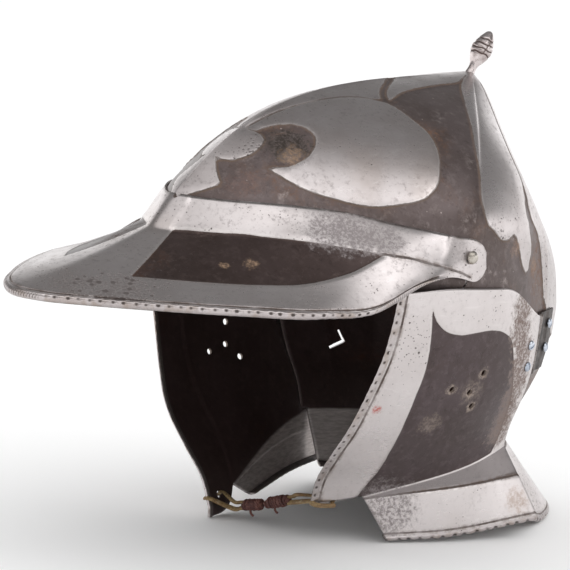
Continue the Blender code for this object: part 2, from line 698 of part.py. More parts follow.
def make_hinge(side, skull, cheek, group, tools, steel, fixing):
    """Two leaves on the cheek's back edge, the pin between them and four screws."""
    sign = SIDES[side]
    mirror = np.array((sign, 1.0, 1.0))

    def under_cheek(u, v):
        share = LEAF_FRONT + (LEAF_BACK - LEAF_FRONT) * u
        place, out = cheek_normal(side, share, LEAF_LOW + (LEAF_HIGH - LEAF_STEP - LEAF_LOW) * v)
        return place - out * (CHEEK_PLATE + LEAF_GAP)

    def on_skull(u, v):
        bearing = SKULL_LEAF[0] + (SKULL_LEAF[1] - SKULL_LEAF[0]) * u
        place = outline_point(bearing, LEAF_LOW + (LEAF_HIGH - LEAF_LOW) * v)
        return (place + outward(bearing) * (LEAF_PLATE + LEAF_GAP)) * mirror

    front = leaf_sheet("hinge_cheek_" + side, 4, 3, under_cheek, group, steel[0])
    back = leaf_sheet("hinge_skull_" + side, 5, 4, on_skull, group, steel[1])
    low = outline_point(PIN_BEARING, LEAF_LOW) + outward(PIN_BEARING) * PIN_STAND
    high = outline_point(PIN_BEARING, LEAF_HIGH) + outward(PIN_BEARING) * PIN_STAND
    length = float(np.linalg.norm(high - low))
    pin = ((0.0, length), (PIN_RADIUS - PIN_BEVEL, length), (PIN_RADIUS, length - PIN_BEVEL),
           (PIN_RADIUS, PIN_BEVEL), (PIN_RADIUS - PIN_BEVEL, 0.0), (0.0, 0.0))
    turned("hinge_pin_" + side, pin, low * mirror, (high - low) * mirror, group, steel[2])

    reach = CHEEK_PLATE + LEAF_GAP + LEAF_PLATE + 0.3
    screw = domed(SCREW_HEAD, SCREW_RISE, SCREW_SHANK, reach, 0.0)
    for k, height in enumerate(CHEEK_SCREWS):
        place, out = cheek_normal(side, CHEEK_SCREW_SHARE, height)
        for thing in (cheek, front):
            drill(thing, f"cheek_screw_hole_{side}_{k}_{thing.name}", place, out, SCREW_HOLE,
                  tools, 8.0)
        head = turned(f"hinge_screw_cheek_{side}_{k + 1}", screw, place + out * HEAD_GAP, out, group,
                      fixing[k])
        slot_head(head, place, out, SLOT_TURNS["cheek"][k], tools)
    reach = LEAF_PLATE + LEAF_GAP + SKULL_PLATE + 1.0
    screw = domed(SCREW_HEAD, SCREW_RISE, SCREW_SHANK, reach, 0.0)
    for k, height in enumerate(SKULL_SCREWS):
        out = outward(SKULL_SCREW_BEARING)
        place = outline_point(SKULL_SCREW_BEARING, height) + out * (LEAF_PLATE + LEAF_GAP + HEAD_STAND)
        place, out = place * mirror, out * mirror
        for thing in (skull, back):
            drill(thing, f"skull_screw_hole_{side}_{k}_{thing.name}", place, out, SCREW_HOLE,
                  tools)
        head = turned(f"hinge_screw_skull_{side}_{k + 1}", screw, place, out, group,
                      fixing[2 + k])
        slot_head(head, place, out, SLOT_TURNS["skull"][k], tools)


def slot_head(screw, place, out, turn, tools):
    """Saw a driver slot across a screw's head."""
    width, depth = SCREW_SLOT
    tool = box_tool("slot_" + screw.name, (3.0 * SCREW_HEAD, width, 2.0 * depth), tools)
    tool.location = to_frame(*(np.array(place) + np.array(out) * (HEAD_GAP + SCREW_RISE)))
    facing = Vector(out).to_track_quat("Z", "Y").to_matrix().to_4x4()
    spin = Vector((math.cos(math.radians(turn)), math.sin(math.radians(turn)), 0.0))
    facing = facing @ spin.to_track_quat("X", "Z").to_matrix().to_4x4()
    tool.rotation_euler = facing.to_euler()
    cut(screw, "slot", tool)


def tear_skull(skull, tools):
    """A bent tear low on the right of the skull's neck."""
    mirror = np.array((-1.0, 1.0, 1.0))
    centre = wall_point(-TEAR_BEARING, TEAR_HEIGHT) * mirror
    out = outward(-TEAR_BEARING) * mirror
    back = np.array((-out[1], out[0], 0.0)) * -1.0
    facing = Vector(out).to_track_quat("Z", "Y")
    for k, (aft, up, length, width, turn) in enumerate(TEAR_ARMS):
        tool = box_tool(f"tear_{k}", (length, width, 12.0), tools)
        tool.location = to_frame(*(centre + back * aft + np.array((0.0, 0.0, up))))
        spin = Vector((math.cos(math.radians(turn)), math.sin(math.radians(turn)), 0.0))
        tool.rotation_euler = (facing @ spin.to_track_quat("X", "Z")).to_euler()
        cut(skull, tool.name, tool)


def strand(name, path, radius, group, material):
    """A round strand along a smooth path, as a closed mesh."""
    path = np.array(path, float)
    places = np.arange(len(path), dtype=float)
    line = bpy.data.curves.new(name + "_path", "CURVE")
    line.dimensions = "3D"
    line.bevel_depth = radius * MM
    line.bevel_resolution = 2
    line.use_fill_caps = True
    points = [spline(places, path, at) for at in np.linspace(0.0, len(path) - 1.0, 6 * len(path))]
    run = line.splines.new("POLY")
    run.points.add(len(points) - 1)
    for spot, point in zip(run.points, points):
        spot.co = (*to_frame(*point), 1.0)
    soft = bpy.data.objects.new(name + "_path", line)
    bpy.context.scene.collection.objects.link(soft)
    bpy.context.view_layer.update()
    mesh = bpy.data.meshes.new_from_object(soft.evaluated_get(bpy.context.evaluated_depsgraph_get()))
    bpy.data.objects.remove(soft)
    shape = bmesh.new()
    shape.from_mesh(mesh)
    bmesh.ops.remove_doubles(shape, verts=shape.verts, dist=0.02 * MM)
    bmesh.ops.recalc_face_normals(shape, faces=shape.faces)
    shape.to_mesh(mesh)
    shape.free()
    mesh.name = name
    return finish(bpy.data.objects.new(name, mesh), group, material, 60.0)


def make_lace(group, materials):
    """A thong looped through each chin hole, whipped together in two knots."""
    knots = {"left": KNOT_LEFT, "right": KNOT_RIGHT}
    for side in SIDES:
        hole, out = cheek_normal(side, LACE_SHARE, LACE_HEIGHT[side])
        edge, _ = cheek_normal(side, 0.0, LACE_HEIGHT[side])
        ahead = (edge - hole) / np.linalg.norm(edge - hole)
        near, far = (np.array(end) for end in knots[side])
        if side == "left":
            near, far = far, near
        towards = (near - far) / np.linalg.norm(near - far)
        start = near + towards * (THONG_RADIUS + KNOT_GAP)
        rise = np.array((0.0, 0.0, THONG_RADIUS + STRAND_GAP))
        out_by, ahead_by = THONG_CLEAR
        path = [start + rise, start + towards * THONG_LEAD + rise * 1.2,
                hole - out * THONG_LEAD + rise * 0.4, hole - out * (0.5 * CHEEK_PLATE),
                hole + out * (0.8 * out_by), edge + out * out_by + ahead * (0.3 * ahead_by),
                edge + ahead * ahead_by - out, edge + ahead * (0.8 * ahead_by) - out * 6.0 - rise,
                start + towards * THONG_LEAD - rise * 1.2, start - rise]
        strand("lace_thong_" + side, path, THONG_RADIUS, group, materials["thong_" + side])
        length = float(np.linalg.norm(far - near))
        bulge = [(radius * KNOT_RADIUS, length * (1.0 - k / (len(KNOT_BULGE) - 1)))
                 for k, radius in enumerate(KNOT_BULGE)]
        profile = [(0.0, length)] + bulge + [(0.0, 0.0)]
        turned("lace_knot_" + side, profile, near, far - near, group,
               materials["knot_" + side], 16)


# ---- build ----------------------------------------------------------------------------

FINISHES = {
    "blackened": ((0.035, 0.030, 0.030), 0.45, 0.9),
    "bright": ((0.45, 0.42, 0.42), 0.30, 1.0),
    "fixing": ((0.50, 0.53, 0.58), 0.28, 1.0),
    "thong": ((0.28, 0.19, 0.09), 0.75, 0.0),
    "cord": ((0.10, 0.035, 0.028), 0.85, 0.0),
}


def finish_for(name, kind):
    return make_material(name, *FINISHES[kind])


def main():
    start_clean()
    group = make_collection(OBJECT_NAME)
    tools = make_collection("cutters")
    skull = make_skull(group, finish_for("skull", "blackened"))
    peak = make_peak(group, finish_for("peak", "bright"))
    make_finial(group, finish_for("finial", "bright"))
    tear_skull(skull, tools)
    drill(peak, "seam_notch", peak_point(0.0, 0.0), (0.0, 1.0, 0.0), SEAM_NOTCH, tools)
    for side in SIDES:
        make_pivot(side, skull, peak, group, tools, finish_for("pivot_rivet_" + side, "bright"))
        cheek = make_cheek(side, group, finish_for("cheek_" + side, "blackened"))
        pierce_cheek(side, cheek, tools)
        steel = [finish_for(f"hinge_{piece}_{side}", "blackened")
                 for piece in ("cheek", "skull", "pin")]
        fixing = [finish_for(f"hinge_screw_{leaf}_{side}_{k}", "fixing")
                  for leaf in ("cheek", "skull") for k in (1, 2)]
        make_hinge(side, skull, cheek, group, tools, steel, fixing)
    lace = {f"{kind}_{side}": finish_for(f"lace_{kind}_{side}", look)
            for side in SIDES for kind, look in (("thong", "thong"), ("knot", "cord"))}
    make_lace(group, lace)


main()
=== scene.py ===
"""Looks of a black-and-white burgonet: embossed steel plates left bright against a blackened
ground, roped edges, a carved finial, modern hinge screws and a leather lace.

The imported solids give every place. The wearer faces -Y and the wearer's left is +X. Shapes
are worked out in millimetres on the helmet's own drawing, whose origin is carried to the
frame by SHIFT.
"""

import math

import bmesh
import bpy
import numpy as np
from mathutils import Matrix, Vector


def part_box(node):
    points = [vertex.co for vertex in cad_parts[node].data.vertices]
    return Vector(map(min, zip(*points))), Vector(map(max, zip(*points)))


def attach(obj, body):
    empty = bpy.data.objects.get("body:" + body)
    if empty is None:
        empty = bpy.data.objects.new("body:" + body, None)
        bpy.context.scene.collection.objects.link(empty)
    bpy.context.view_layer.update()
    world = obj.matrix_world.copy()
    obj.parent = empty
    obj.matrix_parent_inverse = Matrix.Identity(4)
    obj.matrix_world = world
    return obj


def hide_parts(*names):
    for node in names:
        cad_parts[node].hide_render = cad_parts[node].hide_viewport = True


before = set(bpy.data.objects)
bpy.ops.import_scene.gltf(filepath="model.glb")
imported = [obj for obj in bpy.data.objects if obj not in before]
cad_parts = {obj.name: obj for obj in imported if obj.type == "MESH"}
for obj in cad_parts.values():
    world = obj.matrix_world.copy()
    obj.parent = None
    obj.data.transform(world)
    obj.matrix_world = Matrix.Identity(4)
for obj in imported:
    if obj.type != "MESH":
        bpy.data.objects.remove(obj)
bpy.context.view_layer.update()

MM = 0.001
SIDES = {"left": 1.0, "right": -1.0}


def box_middle(node):
    low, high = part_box(node)
    return np.array((low + high) / 2) / MM


# The drawing's pivot axis is 15 mm behind its origin, so the rivet says where the origin is.
PIVOT_Y = 15.0
SHIFT = np.array((0.0, box_middle("pivot_rivet_left")[1] - PIVOT_Y, 0.0))

# ---- camera ----

CAMERA_BACK = Vector((0.690, -0.708, 0.149))
CAMERA_UP = Vector((-0.153, 0.059, 0.986))
CAMERA_TARGET = Vector((0.0, -0.0045, 0.129))
CAMERA_DISTANCE = 1.70
CAMERA_LENS = 209.4


def make_camera():
    eye = bpy.data.objects.new("camera", bpy.data.cameras.new("camera"))
    bpy.context.scene.collection.objects.link(eye)
    back = CAMERA_BACK.normalized()
    right = CAMERA_UP.cross(back).normalized()
    up = back.cross(right)
    turn = Matrix((right, up, back)).transposed()
    eye.matrix_world = Matrix.Translation(CAMERA_TARGET + back * CAMERA_DISTANCE) @ turn.to_4x4()
    eye.data.lens = CAMERA_LENS
    eye.data.sensor_width = 36.0
    eye.data.clip_start, eye.data.clip_end = 0.05, 60.0
    bpy.context.scene.camera = eye


make_camera()

# ---- drawing of the plates ----

APEX = np.array((0.0, 114.0, 237.5))
BELT_WIDTH, BELT_CENTRE = 95.0, 22.0
BELT_FRONT, BELT_REAR = 128.5, 132.0
PROW = 1.30
NECK_OVAL = (73.0, 92.0, 40.0)
NAPE_OVAL = (80.0, 136.0, 42.0)
BROW_EDGE, EAR_EDGE, NECK_HEIGHT, NAPE_EDGE = 143.0, 118.0, 45.0, 3.2
NAPE_RISE = 8.0
TONGUE_BEARING, NAPE_BEARING = 110.0, 112.5
RIDGES = ((0.0, 1.0), (107.0, 3.0), (139.0, 3.0), (180.0, 3.0))
RIDGE_SPREAD = 16.0
REACH = (0.0, 0.12, 0.25, 0.40, 0.55, 0.70, 0.82, 0.92, 0.98, 1.0)
PROFILES = {
    0.0: (160.0, (1.0, 1.000, 0.995, 0.970, 0.910, 0.785, 0.610, 0.385, 0.180, 0.0)),
    50.0: (150.0, (1.0, 0.992, 0.970, 0.930, 0.865, 0.750, 0.605, 0.425, 0.230, 0.0)),
    107.0: (135.0, (1.0, 0.965, 0.905, 0.825, 0.735, 0.630, 0.530, 0.405, 0.240, 0.0)),
    139.0: (121.0, (1.0, 0.930, 0.830, 0.680, 0.540, 0.430, 0.345, 0.235, 0.110, 0.0)),
    180.0: (118.0, (1.0, 0.930, 0.820, 0.670, 0.530, 0.420, 0.335, 0.225, 0.105, 0.0)),
}
SHOULDER_LIFT, SHOULDER_SPREAD = 2.5, 7.0
WAIST_HEIGHTS = (45.0, 60.0, 75.0, 90.0, 104.0, 118.0)
WAIST_SHARES = (1.0, 0.80, 0.46, 0.19, 0.06, 0.0)

ARM_END, ARM_MIDDLE, ARM_BLUNT, ARM_CLEARANCE = 26.6, 155.5, 0.28, 1.6
ARM_START, ARM_TURN, ARM_TIP, SEAM_LAG = 76.0, 88.2, 92.8, (7.2, 1.9)
PEAK_STATIONS = np.array((
    # bearing, seam height, crease x, y, z, rim x, y, z
    (0.0, 180.5, 0.0, -115.5, 164.0, 0.0, -202.0, 139.0),
    (12.0, 180.0, 9.0, -109.0, 163.2, 14.0, -193.5, 139.0),
    (24.0, 179.5, 25.0, -97.0, 163.0, 29.0, -177.0, 139.0),
    (36.0, 179.0, 42.0, -82.0, 163.5, 50.0, -151.0, 138.5),
    (48.0, 177.0, 60.0, -65.5, 163.0, 74.0, -117.0, 137.5),
    (60.0, 172.0, 78.0, -45.0, 160.0, 92.0, -84.0, 136.5),
    (68.0, 169.2, 88.0, -28.0, 157.5, 98.0, -54.0, 137.0),
    (75.0, 167.4, 94.0, -11.0, 154.5, 99.5, -28.0, 146.5),
    (83.0, 166.6, 96.6, 4.0, 153.5, 98.2, -5.0, 150.0),
    (90.0, 165.0, 96.8, 19.0, 153.5, 97.6, 18.0, 146.2),
    (92.8, 164.6, 96.6, 26.6, 153.5, 97.2, 26.6, 145.8),
))
PEAK_LEAN, CREASE_SAG, BRIM_HOLLOW = 3.0, 6.0, 2.5

CHEEK_SECTIONS = np.array((
    # height, front x, front y, middle x, middle y
    (14.0, 29.0, -15.0, 49.0, 26.0),
    (30.0, 37.0, -19.5, 58.0, 29.0),
    (45.0, 50.0, -24.0, 68.5, 30.0),
    (60.0, 62.5, -26.5, 78.0, 30.0),
    (82.0, 74.0, -26.0, 88.8, 30.0),
    (100.0, 81.5, -25.0, 94.0, 29.0),
    (120.0, 87.5, -25.5, 97.5, 27.0),
    (140.0, 92.0, -27.0, 98.2, 24.0),
))
CHEEK_TOP, CHEEK_CORNER, CHEEK_REAR_BEARING = 137.5, 120.0, 116.5
CHIN_HEIGHT = {"left": 15.0, "right": 9.3}
CHIN_STEP = {"left": 1.0, "right": 5.0}
CREASE_FRONT, CREASE_START = 21.0, 0.27
CREASE_REAR = {"left": 50.0, "right": 45.0}
FLANGES = {
    "left": np.array(((52.0, 17.0, 2.8), (68.0, 52.0, 4.6), (83.0, 100.0, 11.5))),
    "right": np.array(((50.0, 17.0, 5.5), (65.0, 58.0, 11.5), (82.0, 101.0, 13.0))),
}
CHEEK_LIFT = {"left": 4.0, "right": -9.0}
SPLAY_HEIGHTS = (14.0, 30.0, 45.0, 60.0, 75.0, 90.0, 105.0, 140.0)
SPLAYS = {"left": (0.0,) * 8, "right": (12.5, 9.0, 6.3, 4.9, 4.3, 3.2, 2.2, 1.0)}
HINGE_GAP = 2.2

SKULL_PLATE, PEAK_PLATE, CHEEK_PLATE = 1.5, 1.3, 1.3
# A place inside each plate, which its faces look away from
SKULL_HEART, PEAK_HEART, CHEEK_HEART = (0.0, 30.0, 120.0), (0.0, -20.0, 60.0), (0.0, 20.0, 70.0)
OUTER_X, OUTER_Y = 100.0, 178.5
FIT_GAP, EDGE_ROLL = 0.6, 2.1
PUNCH_LENGTH, TOP_Z, TIP_Y = 12.0, 260.0, -205.0
# Stands for a distance that is out of reach of every line
FAR = 99.0


def smooth(low, high, value):
    share = np.clip((np.asarray(value, float) - low) / (high - low), 0.0, 1.0)
    return share * share * (3.0 - 2.0 * share)


def spline(places, values, at):
    """Smooth curve through the values at the places, read at one or many spots. The values
    are one column, or one column for each spot."""
    places, at = np.asarray(places, float), np.asarray(at, float)
    spots = np.clip(at.ravel(), places[0], places[-1])
    values = np.asarray(values, float)
    if values.ndim == 1:
        values = np.repeat(values[:, None], spots.size, axis=1)
    k = np.clip(np.searchsorted(places, spots, side="right") - 1, 0, len(places) - 2)
    slopes = np.gradient(values, places, axis=0)
    each = np.arange(spots.size)
    width = places[k + 1] - places[k]
    t = (spots - places[k]) / width
    found = ((2 * t**3 - 3 * t**2 + 1) * values[k, each]
             + (t**3 - 2 * t**2 + t) * width * slopes[k, each]
             + (-2 * t**3 + 3 * t**2) * values[k + 1, each]
             + (t**3 - t**2) * width * slopes[k + 1, each])
    return found.reshape(at.shape)


def splines(places, rows, at):
    rows = np.asarray(rows, float)
    return np.stack([spline(places, rows[:, k], at) for k in range(rows.shape[1])], axis=-1)


def unit(vectors):
    return vectors / np.maximum(np.linalg.norm(vectors, axis=-1, keepdims=True), 1e-9)


def gap(places, others):
    return np.linalg.norm(places - others, axis=-1)


def run_along(line):
    """Distance from a line's start to each of its places."""
    return np.concatenate(([0.0], np.cumsum(gap(line[1:], line[:-1]))))


def paired(a, b):
    """Two values as arrays of one shape."""
    return np.broadcast_arrays(np.asarray(a, float), np.asarray(b, float))


def flipped(side):
    """Carries a place on the wearer's left to a side."""
    return np.array((SIDES[side], 1.0, 1.0))


def above(plan, height):
    return np.concatenate((plan, height[..., None]), axis=-1)


def oval(width, length, centre, bearing):
    angle = np.radians(bearing)
    return np.stack((width * np.sin(angle), centre - length * np.cos(angle)), axis=-1)


def belt(bearing):
    """The belt in plan: an ellipse behind, drawn to a blunt prow in front."""
    bearing = np.asarray(bearing, float)
    angle = np.radians(bearing)
    ahead = np.clip(np.cos(angle), 0.0, 1.0) ** (2.0 / PROW)
    across = np.sign(bearing) * np.abs(np.sin(angle)) ** (2.0 / PROW)
    prow = np.stack((BELT_WIDTH * across, BELT_CENTRE - BELT_FRONT * ahead), axis=-1)
    behind = oval(BELT_WIDTH, BELT_REAR, BELT_CENTRE, bearing)
    return np.where((np.abs(bearing) >= 90.0)[..., None], behind, prow)


def outward(bearing):
    """Level direction square to the belt."""
    bearing = np.asarray(bearing, float)
    step = belt(bearing + 0.5) - belt(bearing - 0.5)
    return unit(np.stack((step[..., 1], -step[..., 0], np.zeros_like(bearing)), axis=-1))


def belt_height(bearing):
    return spline(list(PROFILES), [row[0] for row in PROFILES.values()], np.abs(bearing))


def ridge_lift(bearing, reach):
    lift = 0.0
    for ridge, height in RIDGES:
        away = np.radians(np.abs(np.abs(bearing) - ridge)) * 0.5 * (BELT_WIDTH + BELT_REAR)
        lift = lift + height * np.exp(-away * reach / RIDGE_SPREAD)
    return lift


def dome(bearing, reach):
    """Outer face of the skull from the apex (0) to the belt (1)."""
    bearing, reach = paired(bearing, reach)
    form, bearing, reach = bearing.shape, bearing.ravel(), reach.ravel()
    heights = np.array([spline(REACH, row[1], reach) for row in PROFILES.values()])
    rise = spline(list(PROFILES), heights, np.abs(bearing))
    low = belt_height(bearing)
    out = belt(bearing) - APEX[:2]
    span = np.linalg.norm(out, axis=-1)
    fade = np.minimum(1.0, reach / 0.15)
    fade = fade * np.where(np.abs(bearing) > 125.0, 1.0, smooth(1.0, 0.72, reach))
    lift = ridge_lift(bearing, reach) * fade
    plan = APEX[:2] + out * (reach + lift * reach / span)[:, None]
    shoulder = SHOULDER_LIFT * np.exp(-reach * span / SHOULDER_SPREAD)
    height = low + (APEX[2] - SHOULDER_LIFT - low) * rise + shoulder + lift * (1 - reach) * 0.6
    return np.column_stack((plan, height)).reshape(form + (3,))


def wall(bearing, height):
    """Outer face of the skull from the belt down to the neck."""
    bearing, height = paired(bearing, height)
    share = spline(WAIST_HEIGHTS, WAIST_SHARES, height)[..., None]
    edge = belt(bearing)
    out = unit(edge - APEX[:2])
    edge = edge + out * np.where(np.abs(bearing) > 125.0, ridge_lift(bearing, 1.0), 0.0)[..., None]
    plan = edge + (oval(*NECK_OVAL, bearing) - edge) * share
    return above(plan, height)


def outline(bearing, height):
    """Outer face of the skull at a height, above or below the belt."""
    bearing, height = paired(bearing, height)
    inner, outer = np.zeros(bearing.shape), np.ones(bearing.shape)
    for _ in range(30):
        middle = 0.5 * (inner + outer)
        above = dome(bearing, middle)[..., 2] > height
        inner, outer = np.where(above, middle, inner), np.where(above, outer, middle)
    below = (height <= belt_height(bearing))[..., None]
    return np.where(below, wall(bearing, height), dome(bearing, outer))


def skull_at(bearing, reach):
    """The skull by bearing and reach, where a reach past 1 goes down the wall, 0.01 a mm."""
    bearing, reach = paired(bearing, reach)
    fallen = wall(bearing, belt_height(bearing) - (reach - 1.0) * 100.0)
    return np.where((reach > 1.0)[..., None], fallen, dome(bearing, np.minimum(reach, 1.0)))


def skull_edge(bearing):
    return BROW_EDGE + (EAR_EDGE - BROW_EDGE) * smooth(52.0, 74.0, np.abs(bearing))


def nape(bearing, share):
    """Nape flange, from the neck crease (0) to its edge (1)."""
    bearing, share = paired(bearing, share)
    neck, rim = oval(*NECK_OVAL, bearing), oval(*NAPE_OVAL, bearing)
    low = NAPE_EDGE + NAPE_RISE * smooth(132.0, 112.0, np.abs(bearing))
    plan = neck + (rim - neck) * share[..., None]
    return above(plan, NECK_HEIGHT + (low - NECK_HEIGHT) * share)


def peak_at(bearing, across):
    """The peak's outer face, with 0 to 1 across the band and 1 to 2 across the brim. The
    result has a row for each of across and a column for each bearing."""
    bearing, across = np.asarray(bearing, float), np.asarray(across, float)[:, None]
    turn, side = np.abs(bearing), np.where(bearing < 0.0, -1.0, 1.0)
    row = splines(PEAK_STATIONS[:, 0], PEAK_STATIONS[:, 1:], turn)
    clear = PEAK_PLATE + FIT_GAP + ARM_CLEARANCE * smooth(40.0, 78.0, turn)
    lag, catch_up = SEAM_LAG
    aft = turn - lag * smooth(66.0, ARM_TURN, turn) + catch_up * smooth(ARM_TURN, ARM_TIP, turn)
    seam = outline(aft, row[:, 0]) + outward(aft) * clear[:, None]
    crease, rim = row[:, 1:4].copy(), row[:, 4:7]
    sag = smooth(22.0, 48.0, turn) * smooth(84.0, 66.0, turn)
    crease[:, 2] -= np.where(side < 0.0, CREASE_SAG * sag, 0.0)
    upper = np.clip(across, 0.0, 1.0)[..., None]
    lower = np.clip(across - 1.0, 0.0, 1.0)[..., None]
    point = seam + (crease - seam) * upper + (rim - crease) * lower
    point[..., 2] -= BRIM_HOLLOW * np.sin(np.pi * lower[..., 0]) * smooth(80.0, 50.0, turn)
    past = (turn - ARM_TURN) / (ARM_TIP - ARM_TURN)
    along = PIVOT_Y + past * (ARM_END - PIVOT_Y)
    point[..., 1] += (along - point[..., 1]) * smooth(ARM_START, ARM_TURN, turn)
    narrow = np.maximum(ARM_BLUNT, np.sqrt(1.0 - np.clip(past, 0.0, 1.0) ** 2.2))
    point[..., 2] = ARM_MIDDLE + (point[..., 2] - ARM_MIDDLE) * narrow
    point[..., 0] *= side
    point[..., 2] -= PEAK_LEAN * np.tanh(point[..., 0] / 30.0) * lower[..., 0]
    return point


def peak_soft(bearing, across):
    """The peak with its middle ridge hammered round instead of sharp."""
    bearing = np.asarray(bearing, float)
    near = smooth(20.0, 7.0, np.abs(bearing))
    steps, weights = (-7.5, -5.0, -2.5, 0.0, 2.5, 5.0, 7.5), (1.0, 2.0, 3.0, 4.0, 3.0, 2.0, 1.0)
    parts = [peak_at(bearing + step * near, across) * weight
             for step, weight in zip(steps, weights)]
    return sum(parts) / sum(weights)


def cheek_at(side, u, height):
    """Plate of a cheek on the wearer's left, from its front edge (0) to its rear (1)."""
    u, height = paired(u, height)
    row = splines(CHEEK_SECTIONS[:, 0], CHEEK_SECTIONS[:, 1:], height)
    back = np.minimum(height, CHEEK_TOP)
    clear = CHEEK_PLATE + HINGE_GAP + 0.8 * smooth(118.0, 60.0, height)
    rear = wall(CHEEK_REAR_BEARING, back)[..., :2]
    rear = rear + outward(CHEEK_REAR_BEARING)[:2] * clear[..., None]
    front, middle = row[..., 0:2], row[..., 2:4]
    pull = 2.0 * middle - 0.5 * (front + rear)
    splay = spline(SPLAY_HEIGHTS, SPLAYS[side], height)[..., None]
    front = front + np.array((0.75, -0.65)) * splay
    w = u[..., None]
    plan = front * (1 - w) ** 2 + 2.0 * pull * w * (1 - w) + rear * w * w
    return above(plan, height)


def cheek_top(u):
    drop = smooth(0.66, 1.04, u) ** 1.2
    return CHEEK_TOP - 2.0 * (1.0 - smooth(0.0, 0.35, u)) - (CHEEK_TOP - CHEEK_CORNER) * drop


def cheek_bottom(side, u):
    chin = CHIN_HEIGHT[side] + (CREASE_FRONT - CHIN_HEIGHT[side]) * np.clip(
        u / CREASE_START, 0.0, 1.0) ** CHIN_STEP[side]
    share = (u - CREASE_START) / (1.0 - CREASE_START)
    return np.where(u < CREASE_START, chin,
                    CREASE_FRONT + (CREASE_REAR[side] - CREASE_FRONT) * share)


def lifted(side, point):
    point = point.copy()
    point[..., 2] += CHEEK_LIFT[side] * smooth(75.0, -20.0, point[..., 1])
    return point


def cheek_plate(side, u, down):
    """The plate from its top (0) to its foot (1)."""
    top, foot = cheek_top(u), cheek_bottom(side, u)
    return lifted(side, cheek_at(side, u, top + (foot - top) * down)) * flipped(side)


def cheek_flange(side, u, share):
    """The flange from the neck crease (0) to its edge (1)."""
    u, share = paired(u, share)
    crease = lifted(side, cheek_at(side, u, cheek_bottom(side, u)))
    edge = splines((0.0, 0.5, 1.0), FLANGES[side], (u - CREASE_START) / (1.0 - CREASE_START))
    return (crease + (edge - crease) * share[..., None]) * flipped(side)


def cheek_face(side, u, height):
    """A place on a cheek's outer face and the direction square to it."""
    place = cheek_at(side, u, height)
    across = cheek_at(side, u + 0.02, height) - cheek_at(side, u - 0.02, height)
    up = cheek_at(side, u, height + 2.0) - cheek_at(side, u, height - 2.0)
    return lifted(side, place) * flipped(side), unit(np.cross(across, up)) * flipped(side)


# ---- shaping ----


def to_frame(points):
    return (np.asarray(points, float) + SHIFT) * MM


def grid_plate(points, fields, keep=None):
    """An open sheet on a grid of places (row, column), with a value on each corner for each
    field. keep says which faces stay."""
    rows, columns = points.shape[0] - 1, points.shape[1] - 1
    shape = bmesh.new()
    bmesh.ops.create_grid(shape, x_segments=columns, y_segments=rows, size=0.5)
    if keep is not None:
        spare = []
        for face in shape.faces:
            middle = face.calc_center_median()
            if not keep[int((middle.y + 0.5) * rows), int((middle.x + 0.5) * columns)]:
                spare.append(face)
        bmesh.ops.delete(shape, geom=spare, context="FACES")
    layers = [(shape.verts.layers.float.new(name), values) for name, values in fields.items()]
    placed = to_frame(points)
    for corner in shape.verts:
        row, column = round((corner.co.y + 0.5) * rows), round((corner.co.x + 0.5) * columns)
        corner.co = placed[row, column]
        for layer, values in layers:
            corner[layer] = values[row, column]
    bmesh.ops.remove_doubles(shape, verts=shape.verts, dist=0.02 * MM)
    return shape


def relaxed(points, rounds, axis, share):
    """Ease the kinks out of a grid of places along one axis, leaving its two ends."""
    points = np.moveaxis(points, axis, 0).copy()
    for _ in range(rounds):
        eased = 0.25 * (points[:-2] + points[2:]) + 0.5 * points[1:-1]
        points[1:-1] += (eased - points[1:-1]) * share
    return np.moveaxis(points, 0, axis)


def away_from(inside, normals, points):
    """Normals turned as one, away from a point inside."""
    return normals if np.sum(normals * (points - np.array(inside))) >= 0.0 else -normals


def facing(points, inside):
    """Outward unit normals of a grid of places."""
    across = np.cross(np.gradient(points, axis=0), np.gradient(points, axis=1))
    return away_from(inside, unit(across), points)


def turn_out(shape, inside):
    """Turn an open sheet's faces away from a point inside it."""
    bmesh.ops.recalc_face_normals(shape, faces=shape.faces)
    centre = Vector(to_frame(inside))
    facing_out = sum(face.normal.dot(face.calc_center_median() - centre) for face in shape.faces)
    if facing_out < 0.0:
        bmesh.ops.reverse_faces(shape, faces=shape.faces)


def new_object(name, shape, materials):
    mesh = bpy.data.meshes.new(name)
    shape.to_mesh(mesh)
    shape.free()
    for material in materials:
        mesh.materials.append(material)
    thing = bpy.data.objects.new(name, mesh)
    bpy.context.scene.collection.objects.link(thing)
    return thing


def piece(name, shape, body, slot, *materials, sharp=40.0):
    """A finished mesh that rides on a body."""
    thing = new_object(name, shape, materials)
    thing.data.shade_smooth()
    if sharp:
        thing.data.set_sharp_from_angle(angle=math.radians(sharp))
    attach(thing, body)
    return thing


def thicken(thing, thickness):
    coat = thing.modifiers.new("wall", "SOLIDIFY")
    coat.thickness = thickness * MM
    coat.offset = -1.0
    coat.material_offset = 1
    coat.material_offset_rim = 0


def pierce(thing, cutters):
    """Cut shapes out of a plate and keep the result as its own mesh."""
    tools = []
    for number, cutter in enumerate(cutters):
        tool = new_object(f"cutter_{number}", cutter, thing.data.materials)
        tools.append(tool)
        hole = thing.modifiers.new(tool.name, "BOOLEAN")
        hole.object = tool
        hole.operation = "DIFFERENCE"
        hole.solver = "EXACT"
    bpy.context.view_layer.update()
    seen = thing.evaluated_get(bpy.context.evaluated_depsgraph_get())
    mesh = bpy.data.meshes.new_from_object(seen)
    thing.modifiers.clear()
    thing.data = mesh
    for tool in tools:
        bpy.data.objects.remove(tool)


def stand(shape, place, axis, spin=0.0):
    """Carry a piece made about the Z axis to its place in the drawing."""
    turn = Vector(axis).to_track_quat("Z", "Y").to_matrix() @ Matrix.Rotation(
        math.radians(spin), 3, "Z")
    bmesh.ops.rotate(shape, cent=(0, 0, 0), matrix=turn, verts=shape.verts)
    bmesh.ops.translate(shape, vec=Vector(to_frame(place)), verts=shape.verts)
    return shape


